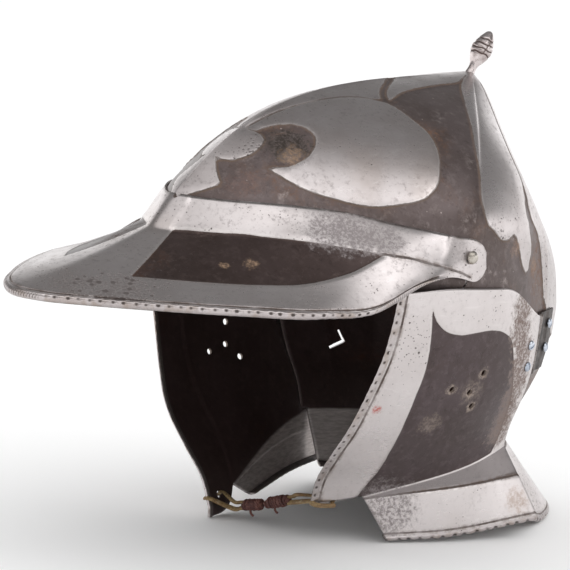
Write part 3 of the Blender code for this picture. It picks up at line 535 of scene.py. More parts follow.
def punch(place, out, radius):
    """A cutter for a round hole."""
    shape = bmesh.new()
    bmesh.ops.create_cone(shape, cap_ends=True, segments=20, radius1=radius * MM,
                          radius2=radius * MM, depth=PUNCH_LENGTH * MM)
    return stand(shape, place, out)


def slit(place, out, size, turn):
    """A cutter for a narrow tear: length, width and depth, turned on the plate."""
    shape = bmesh.new()
    bmesh.ops.create_cube(shape, size=1.0)
    bmesh.ops.subdivide_edges(shape, edges=shape.edges, cuts=2, use_grid_fill=True)
    bmesh.ops.scale(shape, vec=[length * MM for length in size], verts=shape.verts)
    return stand(shape, place, out, turn)


def cap(shape):
    """Close a tube's ends and turn its faces out."""
    bmesh.ops.holes_fill(shape, edges=[edge for edge in shape.edges if edge.is_boundary])
    bmesh.ops.recalc_face_normals(shape, faces=shape.faces)
    return shape


# ---- outlines of the bright fields ----


def stroke(points, scale=1.0):
    """A smooth run through a few places given by two numbers each."""
    points = np.array(points, float)
    run = run_along(points * scale)
    return splines(run, points, np.linspace(0.0, run[-1], 10 * (len(points) - 1) + 1))


def loop_of(strokes, scale=1.0):
    """A closed outline from strokes that meet at corners."""
    return np.concatenate([stroke(points, scale)[:-1] for points in strokes])


def inside_of(loop, flat):
    """Which places lie inside a closed outline."""
    inside = np.zeros(len(flat), bool)
    for (ax, ay), (bx, by) in zip(loop, np.roll(loop, -1, axis=0)):
        if ay == by:
            continue
        crossing = ax + (flat[:, 1] - ay) / (by - ay) * (bx - ax)
        inside ^= ((ay > flat[:, 1]) != (by > flat[:, 1])) & (flat[:, 0] < crossing)
    return inside


def nearest(line, places):
    """Distance of each place from a run of points."""
    best = np.full(len(places), 1e9)
    for start, end in zip(line[:-1], line[1:]):
        step = end - start
        long = max(float(step @ step), 1e-9)
        share = np.clip((places - start) @ step / long, 0.0, 1.0)
        away = places - start - share[:, None] * step
        best = np.minimum(best, np.einsum("ij,ij->i", away, away))
    return np.sqrt(best)


def field(loop, flat, loop_places, places):
    """Distance in from a closed outline, below zero outside it."""
    closed = np.concatenate((loop_places, loop_places[:1]))
    form = flat.shape[:-1]
    away = nearest(closed, places.reshape(-1, places.shape[-1]))
    inside = inside_of(loop, flat.reshape(-1, 2))
    return np.where(inside, away, -away).reshape(form)


# ---- finishes ----


class Wiring:
    """Short ways to place and join shader nodes in one tree."""

    def __init__(self, tree):
        self.tree = tree

    def node(self, kind, settings=(), feeds=()):
        made = self.tree.nodes.new("ShaderNode" + kind)
        for key, value in dict(settings).items():
            setattr(made, key, value)
        for socket, value in dict(feeds).items():
            self.feed(made.inputs[socket], value)
        return made

    def feed(self, socket, value):
        if isinstance(value, bpy.types.NodeSocket):
            self.tree.links.new(value, socket)
        elif value is not None:
            socket.default_value = value

    def math(self, operation, a, b=None, c=None):
        return self.node("Math", {"operation": operation}, {0: a, 1: b, 2: c}).outputs[0]

    def mul(self, a, b):
        return self.math("MULTIPLY", a, b)

    def mad(self, a, b, c):
        return self.math("MULTIPLY_ADD", a, b, c)

    def add(self, a, b):
        return self.math("ADD", a, b)

    def sub(self, a, b):
        return self.math("SUBTRACT", a, b)

    def top(self, a, b):
        return self.math("MAXIMUM", a, b)

    def size(self, a):
        return self.math("ABSOLUTE", a)

    def step(self, value, low, high, start=0.0, end=1.0):
        made = self.node("MapRange", {"interpolation_type": "SMOOTHSTEP"},
                         {"Value": value, "From Min": low, "From Max": high, "To Min": start,
                          "To Max": end})
        return made.outputs[0]

    def noise(self, scale, detail, roughness, distortion=0.0, vector=None):
        made = self.node("TexNoise", {}, {"Vector": vector or self.place(), "Scale": scale,
                                          "Detail": detail, "Roughness": roughness,
                                          "Distortion": distortion})
        return made.outputs[0]

    def fog(self, scale, detail, roughness, *limits):
        """Patches of noise, between a low and a high limit."""
        return self.step(self.noise(scale, detail, roughness), *limits)

    def cells(self, scale, feature="F1"):
        feeds = {"Vector": self.place(), "Scale": scale}
        return self.node("TexVoronoi", {"feature": feature}, feeds).outputs["Distance"]

    def away(self, place):
        """Distance from a place in the drawing, in metres."""
        return self.node("VectorMath", {"operation": "DISTANCE"},
                         {0: self.place(), 1: tuple(to_frame(place))}).outputs["Value"]

    def blend(self, share, a, b, mode="MIX"):
        made = self.tree.nodes.new("ShaderNodeMix")
        made.data_type = "RGBA"
        made.blend_type = mode
        for socket, value in ((0, share), (6, a), (7, b)):
            if isinstance(value, tuple) and len(value) == 3:
                value = (*value, 1.0)
            self.feed(made.inputs[socket], value)
        return made.outputs[2]

    def coats(self, colour, *layers):
        """Lay colours over one another in turn: where, how strongly and which."""
        for mask, strength, tint in layers:
            colour = self.blend(self.mul(mask, strength), colour, tint)
        return colour

    def place(self):
        return self.node("TexCoord").outputs["Object"]

    def stretched(self, scale, turn):
        made = self.node("Mapping", {}, {"Vector": self.place(), "Scale": scale, "Rotation": turn})
        return made.outputs[0]

    def own(self, name):
        return self.node("Attribute", {"attribute_name": name}).outputs["Fac"]


def group(name, inputs, outputs, build):
    """A shared effect. inputs and outputs map names to socket kinds and first values."""
    tree = bpy.data.node_groups.new(name, "ShaderNodeTree")
    for label, start in inputs.items():
        kind = "NodeSocketColor" if isinstance(start, tuple) else "NodeSocketFloat"
        made = tree.interface.new_socket(label, in_out="INPUT", socket_type=kind)
        made.default_value = (*start, 1.0) if isinstance(start, tuple) else start
    for label, kind in outputs.items():
        tree.interface.new_socket(label, in_out="OUTPUT", socket_type="NodeSocket" + kind)
    wires = Wiring(tree)
    source = tree.nodes.new("NodeGroupInput")
    sink = tree.nodes.new("NodeGroupOutput")
    for label, value in build(wires, source.outputs).items():
        wires.feed(sink.inputs[label], value)
    return tree


def use(wires, tree, **feeds):
    made = wires.tree.nodes.new("ShaderNodeGroup")
    made.node_tree = tree
    for label, value in feeds.items():
        if isinstance(value, tuple):
            value = (*value, 1.0)
        wires.feed(made.inputs[label.replace("_", " ")], value)
    return made.outputs


def build_pitting(w, given):
    """Small rust pits in clusters: where they are, and where they crowd."""
    cluster = w.fog(24.0, 4.0, 0.62, 0.42, 0.66)
    reach = w.mul(w.mad(cluster, 0.85, 0.15), given["Amount"])
    edge = w.mul(w.sub(w.noise(1100.0, 2.0, 0.5), 0.5), 0.30)
    small = w.step(w.add(w.cells(520.0), edge), w.mul(reach, 0.40), w.mul(reach, 0.22))
    large = w.step(w.add(w.cells(210.0), edge), w.mul(reach, 0.24), w.mul(reach, 0.14))
    return {"Mask": w.top(w.mul(small, 0.8), large), "Cluster": cluster}


def build_edge_rust_and_highlight(w, given):
    """Rust held against a step: a ragged line on its low side, and a painted highlight along its
    high lip.
    """
    ragged = w.sub(w.noise(320.0, 3.0, 0.6), 0.5)
    distance = w.mad(ragged, 1.1, given["Distance"])
    near = w.step(distance, w.mul(given["Width"], -1.0), -0.1)
    below = w.step(distance, 0.2, -0.05)
    share = w.mad(w.fog(38.0, 2.0, 0.5, 0.34, 0.62), 0.65, 0.35)
    # Painted highlight: a pale band on the high side of each step
    lip = w.mul(w.step(distance, 0.05, 0.35), w.step(distance, 1.3, 0.6))
    return {"Rust": w.mul(w.mul(near, below), share), "Lip Highlight": lip}


def build_bright(w, given):
    """Old polished steel: grey-lilac, cloudy, freckled and faintly scratched."""
    cloud = w.noise(24.0, 4.0, 0.6)
    mottle = w.fog(330.0, 5.0, 0.75, 0.50, 0.70)
    mottle = w.mul(mottle, w.fog(45.0, 3.0, 0.6, 0.34, 0.60, 0.35, 1.0))
    warm = w.fog(13.0, 3.0, 0.5, 0.54, 0.70)
    grind = w.noise(1.0, 4.0, 0.6, vector=w.stretched((60.0, 60.0, 900.0), (0.2, 0.5, 0.0)))
    streak = w.noise(1.0, 3.0, 0.6, vector=w.stretched((420.0, 25.0, 420.0), (0.5, 0.3, 0.8)))
    colour = w.blend(w.step(cloud, 0.32, 0.70), (0.600, 0.555, 0.552), (0.470, 0.425, 0.418))
    colour = w.coats(colour, (mottle, given["Mottle"], (0.230, 0.198, 0.196)),
                     (warm, given["Warmth"], (0.330, 0.250, 0.200)),
                     (w.step(streak, 0.60, 0.72), 0.22, (0.78, 0.75, 0.74)))
    roughness = w.mad(mottle, 0.14, w.mad(cloud, 0.16, 0.22))
    height = w.mad(grind, 0.010, w.mul(w.noise(700.0, 3.0, 0.6), 0.018))
    return {"Color": colour, "Roughness": w.mad(w.sub(grind, 0.5), 0.10, roughness),
            "Height": w.mad(mottle, -0.014, w.mad(cloud, 0.25, height))}


def build_black(w, given):
    """Forge black: brown-black scale, patchy, with rust coming through."""
    cloud, grain = w.noise(28.0, 5.0, 0.65), w.noise(240.0, 6.0, 0.72)
    dark = w.step(w.noise(210.0, 5.0, 0.75, 0.4), 0.46, 0.34, 0.0, 0.38)
    patch = w.mul(w.noise(34.0, 5.0, 0.7, 0.6), w.noise(11.0, 2.0, 0.5))
    rust = w.mul(w.step(patch, 0.25, 0.40), given["Rust"])
    rust = w.mul(rust, w.mad(w.fog(380.0, 4.0, 0.7, 0.48, 0.62), 0.65, 0.35))
    worn = w.mul(w.fog(70.0, 4.0, 0.65, 0.58, 0.72), w.step(grain, 0.45, 0.60))
    chip = w.step(w.add(w.cells(130.0), w.mul(grain, 0.12)), 0.13, 0.10)
    chip = w.mul(chip, w.step(cloud, 0.42, 0.55))
    colour = w.blend(w.step(cloud, 0.30, 0.70), (0.090, 0.066, 0.060), (0.128, 0.100, 0.098))
    colour = w.blend(w.step(grain, 0.48, 0.66, 0.0, 0.30), colour, (0.230, 0.190, 0.184))
    colour = w.blend(dark, colour, (0.045, 0.030, 0.026))
    colour = w.blend(rust, colour, (0.215, 0.112, 0.066))
    colour = w.coats(colour, (worn, given["Wear"], (0.42, 0.36, 0.34)),
                     (chip, given["Wear"], (0.62, 0.54, 0.50)))
    height = w.mad(dark, -0.04, w.mad(grain, 0.06, w.mul(cloud, 0.25)))
    return {"Color": w.blend(1.0, colour, given["Tone"], "MULTIPLY"), "Rust": rust,
            "Roughness": w.mad(rust, 0.32, w.mad(cloud, 0.14, 0.29)),
            "Height": w.mad(rust, 0.05, height)}


PITTING = group("pitting", {"Amount": 0.6}, {"Mask": "Float", "Cluster": "Float"}, build_pitting)
EDGE_RUST_AND_HIGHLIGHT = group("edge_rust_and_highlight", {"Distance": 0.0, "Width": 1.5}, {"Rust": "Float", "Lip Highlight": "Float"},
                  build_edge_rust_and_highlight)
BRIGHT = group("bright_steel", {"Mottle": 0.5, "Warmth": 0.3},
               {"Color": "Color", "Roughness": "Float", "Height": "Float"}, build_bright)
BLACK = group("forge_black", {"Rust": 0.6, "Wear": 0.4, "Tone": (1.0, 1.0, 1.0)},
              {"Color": "Color", "Roughness": "Float", "Rust": "Float", "Height": "Float"},
              build_black)

RUST_BROWN, PIT_BROWN = (0.125, 0.078, 0.050), (0.040, 0.027, 0.024)
GROOVE_BROWN, SOOT_GREY = (0.060, 0.036, 0.026), (0.085, 0.070, 0.070)
# The pale lip colour is a painted highlight along the steps
PAINTED_HIGHLIGHT_PALE, POLISHED = (0.74, 0.70, 0.68), (0.84, 0.79, 0.78)


def finish(name, metallic=1.0):
    """A new material: its wiring and its shader."""
    material = bpy.data.materials.new(name)
    material.use_nodes = True
    shader = material.node_tree.nodes["Principled BSDF"]
    shader.inputs["Metallic"].default_value = metallic
    return material, Wiring(material.node_tree), shader


def dress(w, shader, colour, roughness, height=None, metallic=None):
    """Feed a shader. The height is the surface's own relief, in millimetres."""
    w.feed(shader.inputs["Base Color"], colour)
    w.feed(shader.inputs["Roughness"], roughness)
    w.feed(shader.inputs["Metallic"], metallic)
    if height:
        made = w.node("Bump", {}, {"Height": height, "Strength": 1.0, "Distance": MM})
        w.feed(shader.inputs["Normal"], made.outputs[0])


def plate_finish(name, tone=(1.0, 1.0, 1.0), rust=0.6, wear=0.4, mottle=0.5, pits=0.6,
                 line=0.8, polish=0.0, soot=0.0, spots=(), pit_spots=()):
    """Embossed plate: bright where either field is above zero, black elsewhere, with rust
    along the steps and in the engraved lines, and a painted highlight on each step's high lip.
    spots are places of paint, of heavy rust and of grey painted shade, and pit_spots are
    places where pits crowd."""
    material, w, shader = finish(name)
    ahead, behind = w.own("field_a"), w.own("field_b")
    distance = w.top(ahead, behind)
    wander = w.sub(w.noise(260.0, 4.0, 0.65), 0.5)
    step = w.math("MINIMUM", w.size(ahead), w.size(behind))
    seam = w.step(w.add(step, wander), 0.85, 0.35)
    broken = w.fog(60.0, 3.0, 0.6, 0.36, 0.56)
    bright = use(w, BRIGHT, Mottle=mottle, Warmth=0.3)
    black = use(w, BLACK, Rust=rust, Wear=wear, Tone=tone)
    for place, size in pit_spots:
        pits = w.add(w.step(w.away(place), size * MM, 0.2 * size * MM, 0.0, 1.3), pits)
    pit = use(w, PITTING, Amount=pits)["Mask"]
    edge = use(w, EDGE_RUST_AND_HIGHLIGHT, Distance=distance, Width=1.5)
    mask = w.step(w.mad(wander, 0.6, distance), -0.15, 0.15)
    skirt = w.own("skirt")
    strip = w.mul(w.step(skirt, 22.0, 19.0), w.step(w.own("groove"), 0.3, -0.6))
    strip = w.mul(w.step(skirt, 0.0, 1.5, 0.0, soot), strip)
    engraved = w.add(w.size(w.own("groove")), w.mul(wander, 0.6))
    groove = w.step(engraved, 0.80, 0.30)
    split = w.mul(w.mul(seam, mask), line)
    dirt = w.mul(w.step(engraved, 2.4, 0.6), w.fog(170.0, 4.0, 0.65, 0.42, 0.62))
    pale = w.blend(strip, w.blend(polish, bright["Color"], POLISHED), SOOT_GREY)
    # The pale lip laid along each step is a painted highlight
    colour = w.coats(w.blend(mask, black["Color"], pale), (edge["Rust"], line, RUST_BROWN),
                     (edge["Lip Highlight"], 0.40, PAINTED_HIGHLIGHT_PALE), (dirt, 0.45, RUST_BROWN),
                     (split, w.mad(broken, 0.3, 0.7), GROOVE_BROWN),
                     (groove, w.mad(broken, 0.4, 0.5), GROOVE_BROWN),
                     (pit, w.mad(mask, 0.5, 0.35), PIT_BROWN))
    spoiled = w.top(w.top(w.mul(w.top(edge["Rust"], split), line), groove), pit)
    roughness = w.mad(w.sub(bright["Roughness"], black["Roughness"]), mask, black["Roughness"])
    roughness = w.mad(spoiled, 0.30, roughness)
    height = w.mad(w.sub(bright["Height"], black["Height"]), mask, black["Height"])
    height = w.mad(groove, -0.22, w.mad(w.step(distance, -0.5, 0.25), 0.14, height))
    height = w.mad(pit, -0.09, height)
    metallic = w.mad(spoiled, -0.55, w.mad(mask, 0.38, 0.60))
    speckle = w.step(w.noise(620.0, 4.0, 0.7, 0.3), 0.40, 0.60, 0.25, 1.0)
    fray = w.sub(w.noise(260.0, 5.0, 0.75), 0.5)
    # Some spots are grey patches of painted shade; the rest are paint, rust and stains
    for place, size, paint, cover in spots:
        away = w.mad(fray, size * 2.2 * MM, w.away(place))
        patch = w.mul(w.step(away, size * 1.15 * MM, size * 0.45 * MM, 0.0, cover), speckle)
        colour = w.blend(patch, colour, paint)
        metallic = w.mad(patch, -0.8, metallic)
        roughness = w.mad(patch, 0.15, roughness)
    dress(w, shader, colour, roughness, height, w.top(metallic, 0.0))
    return material


def inside_finish():
    """Unpolished inner face: soot-dark scale with brown bloom. Inside the neck flanges it is a
    shinier light grey, which is painted light for the light those faces catch."""
    material, w, shader = finish("plate_inside")
    black = use(w, BLACK, Rust=0.8, Wear=0.0, Tone=(0.42, 0.32, 0.31))
    # Painted light: the inner faces of the neck flanges get a light grey in place of the light
    # they catch
    lit_flange = w.step(w.own("skirt"), -0.6, 1.2)
    brush = w.noise(1.0, 5.0, 0.65, vector=w.stretched((160.0, 160.0, 700.0), (0.9, 0.3, 0.4)))
    grey = w.blend(w.step(brush, 0.35, 0.65), (0.60, 0.55, 0.53), (0.42, 0.38, 0.36))
    dull = w.add(black["Roughness"], 0.22)
    dress(w, shader, w.blend(lit_flange, black["Color"], grey), w.mad(lit_flange, -0.12, dull),
          w.mad(brush, 0.05, w.mul(black["Height"], 1.4)), w.mad(lit_flange, 0.35, 0.35))
    return material


def rope_finish(name, tint):
    """Roped edge: bright on the lands, brown and dull in the filed notches."""
    material, w, shader = finish(name)
    bright = use(w, BRIGHT, Mottle=0.7, Warmth=0.5)
    pit = use(w, PITTING, Amount=0.5)["Mask"]
    root = w.mul(w.step(w.own("root"), 0.35, 0.9), 0.9)
    dark = w.top(w.step(w.own("notch"), 0.25, 0.75), root)
    colour = w.coats(bright["Color"], (w.fog(140.0, 4.0, 0.6, 0.46, 0.66), 0.45, tint),
                     (dark, 0.92, (0.042, 0.028, 0.023)))
    dress(w, shader, colour, w.mad(dark, 0.35, bright["Roughness"]),
          w.mad(pit, -0.1, bright["Height"]), w.step(dark, 0.0, 1.0, 1.0, 0.40))
    return material


def small_steel(name, low, high, roughness, grime, cut=None):
    """Small steel pieces: two tones, specks of grime, and dark cuts where they are."""
    material, w, shader = finish(name)
    cloud = w.noise(150.0, 4.0, 0.6)
    speck = w.fog(900.0, 3.0, 0.6, 0.55, 0.70)
    colour = w.coats(w.blend(w.step(cloud, 0.35, 0.68), high, low),
                     (speck, grime, (0.12, 0.085, 0.065)))
    dull = w.mul(speck, 0.2)
    if cut:
        carved = w.step(w.own(cut), 0.2, 0.8)
        colour = w.coats(colour, (carved, 0.85, (0.075, 0.042, 0.032)))
        dull = w.top(dull, w.mul(carved, 0.35))
    dress(w, shader, colour, w.mad(cloud, 0.15, w.add(dull, roughness)),
          w.mad(w.noise(800.0, 2.0, 0.5), 0.03, w.mul(cloud, 0.10)))
    return material


def leather_finish():
    """Ochre thong leather, creased across."""
    material, w, shader = finish("thong_leather", 0.0)
    cloud = w.noise(120.0, 4.0, 0.6)
    lines = w.step(w.cells(620.0, "DISTANCE_TO_EDGE"), 0.10, 0.02)
    colour = w.blend(w.step(cloud, 0.35, 0.65), (0.330, 0.235, 0.110), (0.190, 0.112, 0.045))
    colour = w.coats(colour, (lines, 0.7, (0.095, 0.050, 0.022)),
                     (w.fog(300.0, 3.0, 0.6, 0.58, 0.72), 0.5, (0.52, 0.44, 0.30)))
    dress(w, shader, colour, w.mad(cloud, 0.25, 0.50), w.mad(lines, -0.12, w.mul(cloud, 0.25)))
    return material


def cord_finish():
    """Waxed dark red-brown cord, laid in fine strands along its own turns."""
    material, w, shader = finish("whipping_cord", 0.0)
    shade = w.step(w.math("SINE", w.mul(w.own("lay"), 2.0 * math.pi)), -1.0, 1.0)
    cloud = w.noise(200.0, 4.0, 0.6)
    colour = w.blend(w.step(cloud, 0.35, 0.66), (0.085, 0.026, 0.022), (0.190, 0.075, 0.058))
    colour = w.blend(w.mad(shade, -0.5, 0.5), colour, (0.022, 0.010, 0.010))
    dress(w, shader, colour, 0.62, w.mad(shade, 0.10, w.mul(cloud, 0.1)))
    return material


# ---- skull ----

DOME_ROWS, WALL_ROWS, TONGUE_ROWS, NAPE_ROWS = 84, 14, 32, 20
SUNK, RAISED = -0.55, 0.10
# Rounds of easing over the belt and over the side ridges
BELT_EASE, RIDGE_EASE = 14, 130
SKULL_SCALE = np.array((2.0, 190.0))

# Outlines on the skull by bearing and reach
PETAL = (
    ((5.5, 0.77), (11, 0.655), (22, 0.535), (41, 0.535), (55.5, 0.625), (64, 0.705),
     (69, 0.825), (69, 0.9), (65, 0.94), (60, 0.955), (53, 0.96), (46, 0.95),
     (38, 0.925), (30, 0.895), (26, 0.88)),
    ((26, 0.88), (33, 0.87), (35, 0.845), (35, 0.81), (33, 0.77), (29.5, 0.745),
     (23, 0.73), (16, 0.75), (13, 0.775)),
    ((13, 0.775), (5.5, 0.77)),
)
FRONT_BAND = (
    ((10, 1.06), (10, 0.965)),
    ((10, 0.965), (14.5, 0.955), (19, 0.935)),
    ((19, 0.935), (14, 0.905), (8, 0.87)),
    ((8, 0.87), (12.5, 0.875), (17, 0.87), (20.5, 0.845), (20.5, 0.81), (17, 0.785),
     (13, 0.775)),
    ((13, 0.775), (5.5, 0.77)),
    ((5.5, 0.77), (11, 0.65), (23, 0.54), (38, 0.515)),
    ((38, 0.515), (18, 0.345), (0, 0.285)),
)
CREST_BAND = (
    ((0, 0.26), (19, 0.32), (41.5, 0.52)),
    ((41.5, 0.52), (40, 0.4), (48.5, 0.265), (62, 0.18), (63, 0.12)),
    ((63, 0.12), (63, 0.01)),
)
SIDE_BAND = (
    ((63, 0.01), (63, 0.12)),
    ((63, 0.12), (65.5, 0.205), (75, 0.43), (80.5, 0.59), (84, 0.72), (89.5, 0.85),
     (91, 0.935), (92.5, 0.97), (95, 0.975), (98, 0.98), (101, 0.98)),
    ((101, 0.98), (104, 0.975)),
    ((104, 0.975), (105.5, 0.98), (108.5, 0.99), (111.5, 0.99), (113, 0.98)),
    ((113, 0.98), (112, 0.965), (111, 0.91), (112.3, 0.815), (112.3, 0.6),
     (112.3, 0.3), (112.3, 0.01)),
    ((112.3, 0.01), (63, 0.01)),
)
REAR_BAND = (
    ((113.7, 0.01), (113.7, 0.3), (113.7, 0.6), (113.5, 0.83), (113.5, 0.91),
     (117, 0.955), (120, 0.98), (122.5, 0.995), (127, 1.07), (133, 1.13)),
    ((133, 1.13), (139, 1.17), (145, 1.13)),
    ((145, 1.13), (152, 1.07), (158, 1), (161, 0.96), (163, 0.91), (164, 0.8), (164, 0.6),
     (164, 0.3), (164, 0.01)),
    ((164, 0.01), (113.7, 0.01)),
)
BACK_BAND = (
    ((166, 0.01), (166, 0.3), (166, 0.6), (166, 0.8), (167, 0.92), (170, 1.02), (176, 1.12),
     (180, 1.15)),
)
CAP_REACH = 14.0

TEAR_BEARING, TEAR_HEIGHT = -127.0, 80.0
TEAR_ARMS = ((1.9, 2.9, 7.2, 1.3, 65.0), (-1.2, -1.6, 9.0, 1.7, -23.0))
# Crack up from the edge over the ear: bearing, height, length and turn of each part
CRACK = ((81.1, 137.0, 6.0, 82.0), (81.7, 140.8, 4.0, 50.0), (82.5, 143.8, 4.5, 88.0))


def skull_bearings():
    half = np.concatenate((np.linspace(0.0, 52.0, 56), np.linspace(52.0, 107.0, 50)[1:],
                           (108.5, TONGUE_BEARING, 111.3, NAPE_BEARING),
                           np.linspace(NAPE_BEARING, 139.0, 26)[1:],
                           np.linspace(139.0, 180.0, 38)[1:]))
    return np.concatenate((-half[:0:-1], half))


def even_reaches(bearings, rows):
    """Reach of each row down each column, so that the rows are evenly spaced."""
    fine = np.linspace(0.0, 1.0, 220)
    lines = dome(bearings[None, :], fine[:, None])
    legs = np.linalg.norm(np.diff(lines, axis=0), axis=2)
    runs = np.concatenate((np.zeros((1, len(bearings))), np.cumsum(legs, axis=0)))
    return np.stack([np.interp(np.linspace(0.0, run[-1], rows + 1), run, fine)
                     for run in runs.T], axis=1)


def mirrored_loop(strokes, middle):
    """One side of an outline that is closed by its own mirror image."""
    half = np.concatenate([stroke(points, SKULL_SCALE) for points in strokes])
    other = half[::-1] * (-1.0, 1.0) + (2.0 * middle, 0.0)
    return np.concatenate((half, other))


def skull_relief(d):
    return SUNK + (RAISED - SUNK) * smooth(-1.3, 0.5, d)


def make_skull(outer, inner):
    bearings = skull_bearings()
    reaches = even_reaches(bearings, DOME_ROWS)
    domed = dome(np.broadcast_to(bearings, reaches.shape), reaches)
    tops = belt_height(bearings)
    falls = np.linspace(0.0, 1.0, WALL_ROWS + 1)[1:, None] * (tops - skull_edge(bearings))
    walls = wall(bearings[None, :], tops - falls)
    heights = np.linspace(EAR_EDGE, NECK_HEIGHT, TONGUE_ROWS + 1)[1:, None]
    tongue = wall(bearings[None, :], heights + 0.0 * bearings)
    shares = np.linspace(0.0, 1.0, NAPE_ROWS + 1)[1:, None]
    flange = nape(bearings[None, :], shares)
    points = np.concatenate((domed, walls, tongue, flange))
    depth = np.concatenate((reaches, 1.0 + falls / 100.0, 1.0 + (tops - heights) / 100.0,
                            1.0 + (tops - NECK_HEIGHT + 40.0 * shares) / 100.0))

    flat = np.stack((np.broadcast_to(np.abs(bearings), depth.shape), depth), axis=-1)
    places = np.concatenate((np.abs(points[..., :1]), points[..., 1:]), axis=-1)
    loops = [loop_of(strokes, SKULL_SCALE) for strokes in (PETAL, SIDE_BAND, REAR_BAND)]
    loops += [mirrored_loop(strokes, middle) for strokes, middle in
              ((FRONT_BAND, 0.0), (CREST_BAND, 0.0), (BACK_BAND, 180.0))]
    petal, *bands = [field(loop, flat, skull_at(loop[:, 0], loop[:, 1]), places) for loop in loops]
    bands.append(CAP_REACH - gap(places, APEX))
    crease = wall(bearings, NECK_HEIGHT)
    below = gap(points, crease)
    skirt = np.where(points[..., 2] < NECK_HEIGHT, below, -below)
    bands.append(skirt - 2.0)
    band = np.max(bands, axis=0)
    rim = gap(points, nape(bearings, 1.0))
    groove = np.where(points[..., 2] < NECK_HEIGHT, rim - BORDER, FAR)
    wall_end = DOME_ROWS + WALL_ROWS
    brow = smooth(50.0, 25.0, np.abs(bearings)) * smooth(0.90, 0.96, depth[1:wall_end])
    crown = relaxed(points[:wall_end + 1], BELT_EASE, 0, (1.0 - 0.9 * brow)[..., None])
    near = smooth(15.0, 4.0, np.abs(np.abs(bearings) - 107.0))[1:-1, None]
    high = smooth(0.80, 0.40, depth[:len(crown), 1:-1]).T
    crown = relaxed(crown, RIDGE_EASE, 1, (near * high)[..., None])
    points = np.concatenate((crown, points[wall_end + 1:]))

    relief = skull_relief(np.maximum(petal, band))
    relief = relief - 0.45 * np.exp(-(np.minimum(np.abs(petal), 9.0) / 1.2) ** 2) * (band > -2.5)
    under_peak = smooth(0.955, 0.985, depth) * smooth(96.0, 60.0, flat[..., 0])
    relief = relief * (1.0 - under_peak) * smooth(0.0, 0.06, depth)
    face = facing(points, SKULL_HEART)
    face[..., 0] *= smooth(0.0, 1.6, np.abs(points[..., 0]))
    points = points + unit(face) * relief[..., None]

    sides = np.minimum(np.abs(bearings[:-1]), np.abs(bearings[1:]))
    row = np.arange(len(points) - 1)[:, None]
    keep = ((row < wall_end)
            | ((row < wall_end + TONGUE_ROWS) & (sides >= TONGUE_BEARING - 0.01))
            | (sides >= NAPE_BEARING - 0.01))
    shape = grid_plate(points, {"field_a": petal, "field_b": band, "groove": groove,
                                "skirt": skirt}, keep)
    turn_out(shape, SKULL_HEART)
    skull = piece("skull_plate", shape, "helmet", "skull", outer, inner)
    thicken(skull, SKULL_PLATE)
    pierce(skull, skull_tears())
    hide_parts("skull")


def skull_tears():
    """The bent tear in the nape and the short crack that runs up from the ear edge."""
    centre, out = wall(TEAR_BEARING, TEAR_HEIGHT), outward(TEAR_BEARING)
    back = np.array((out[1], -out[0], 0.0))
    cutters = [slit(centre + back * aft + (0.0, 0.0, up), out, (length, width, 12.0), turn)
               for aft, up, length, width, turn in TEAR_ARMS]
    for bearing, height, length, turn in CRACK:
        cutters.append(slit(outline(bearing, height), outward(bearing), (length, 0.8, 9.0), turn))
    return cutters


# ---- peak ----

PEAK_COLUMNS, BAND_ROWS, BRIM_ROWS = 168, 11, 46
SEAM_NOTCH_BEARING = 3.5
PANEL = (
    ((9.5, -108), (17, -128), (24.5, -148)),
    ((24.5, -148), (47, -123.5), (64.5, -100.5), (76, -80), (82, -60), (84.5, -36)),
    ((84.5, -36), (71, -53.5), (57.5, -68), (35, -87), (9.5, -108)),
)
MIDDLE_LINE = ((9, -97.5), (9.5, -108))
# Worn line along the arm's foot, and the bearing where the rolled edge runs out
ARM_LINE = ((-36, 158.5), (-22, 156.5), (-4, 152), (8.5, 148.5), (14.5, 146))
ROLL_END = 82.0
BORDER = 2.5


def even_bearings(count):
    """Bearings from the front to the arm's end, evenly spaced along the rim."""
    fine = np.linspace(0.0, PEAK_STATIONS[-1, 0], 900)
    lines = peak_at(fine, (0.0, 2.0))
    legs = np.linalg.norm(np.diff(lines, axis=1), axis=2)
    run = np.concatenate(([0.0], np.cumsum(legs.mean(axis=0))))
    half = np.interp(np.linspace(0.0, run[-1], count + 1), run, fine)
    return np.concatenate((-half[:0:-1], half))


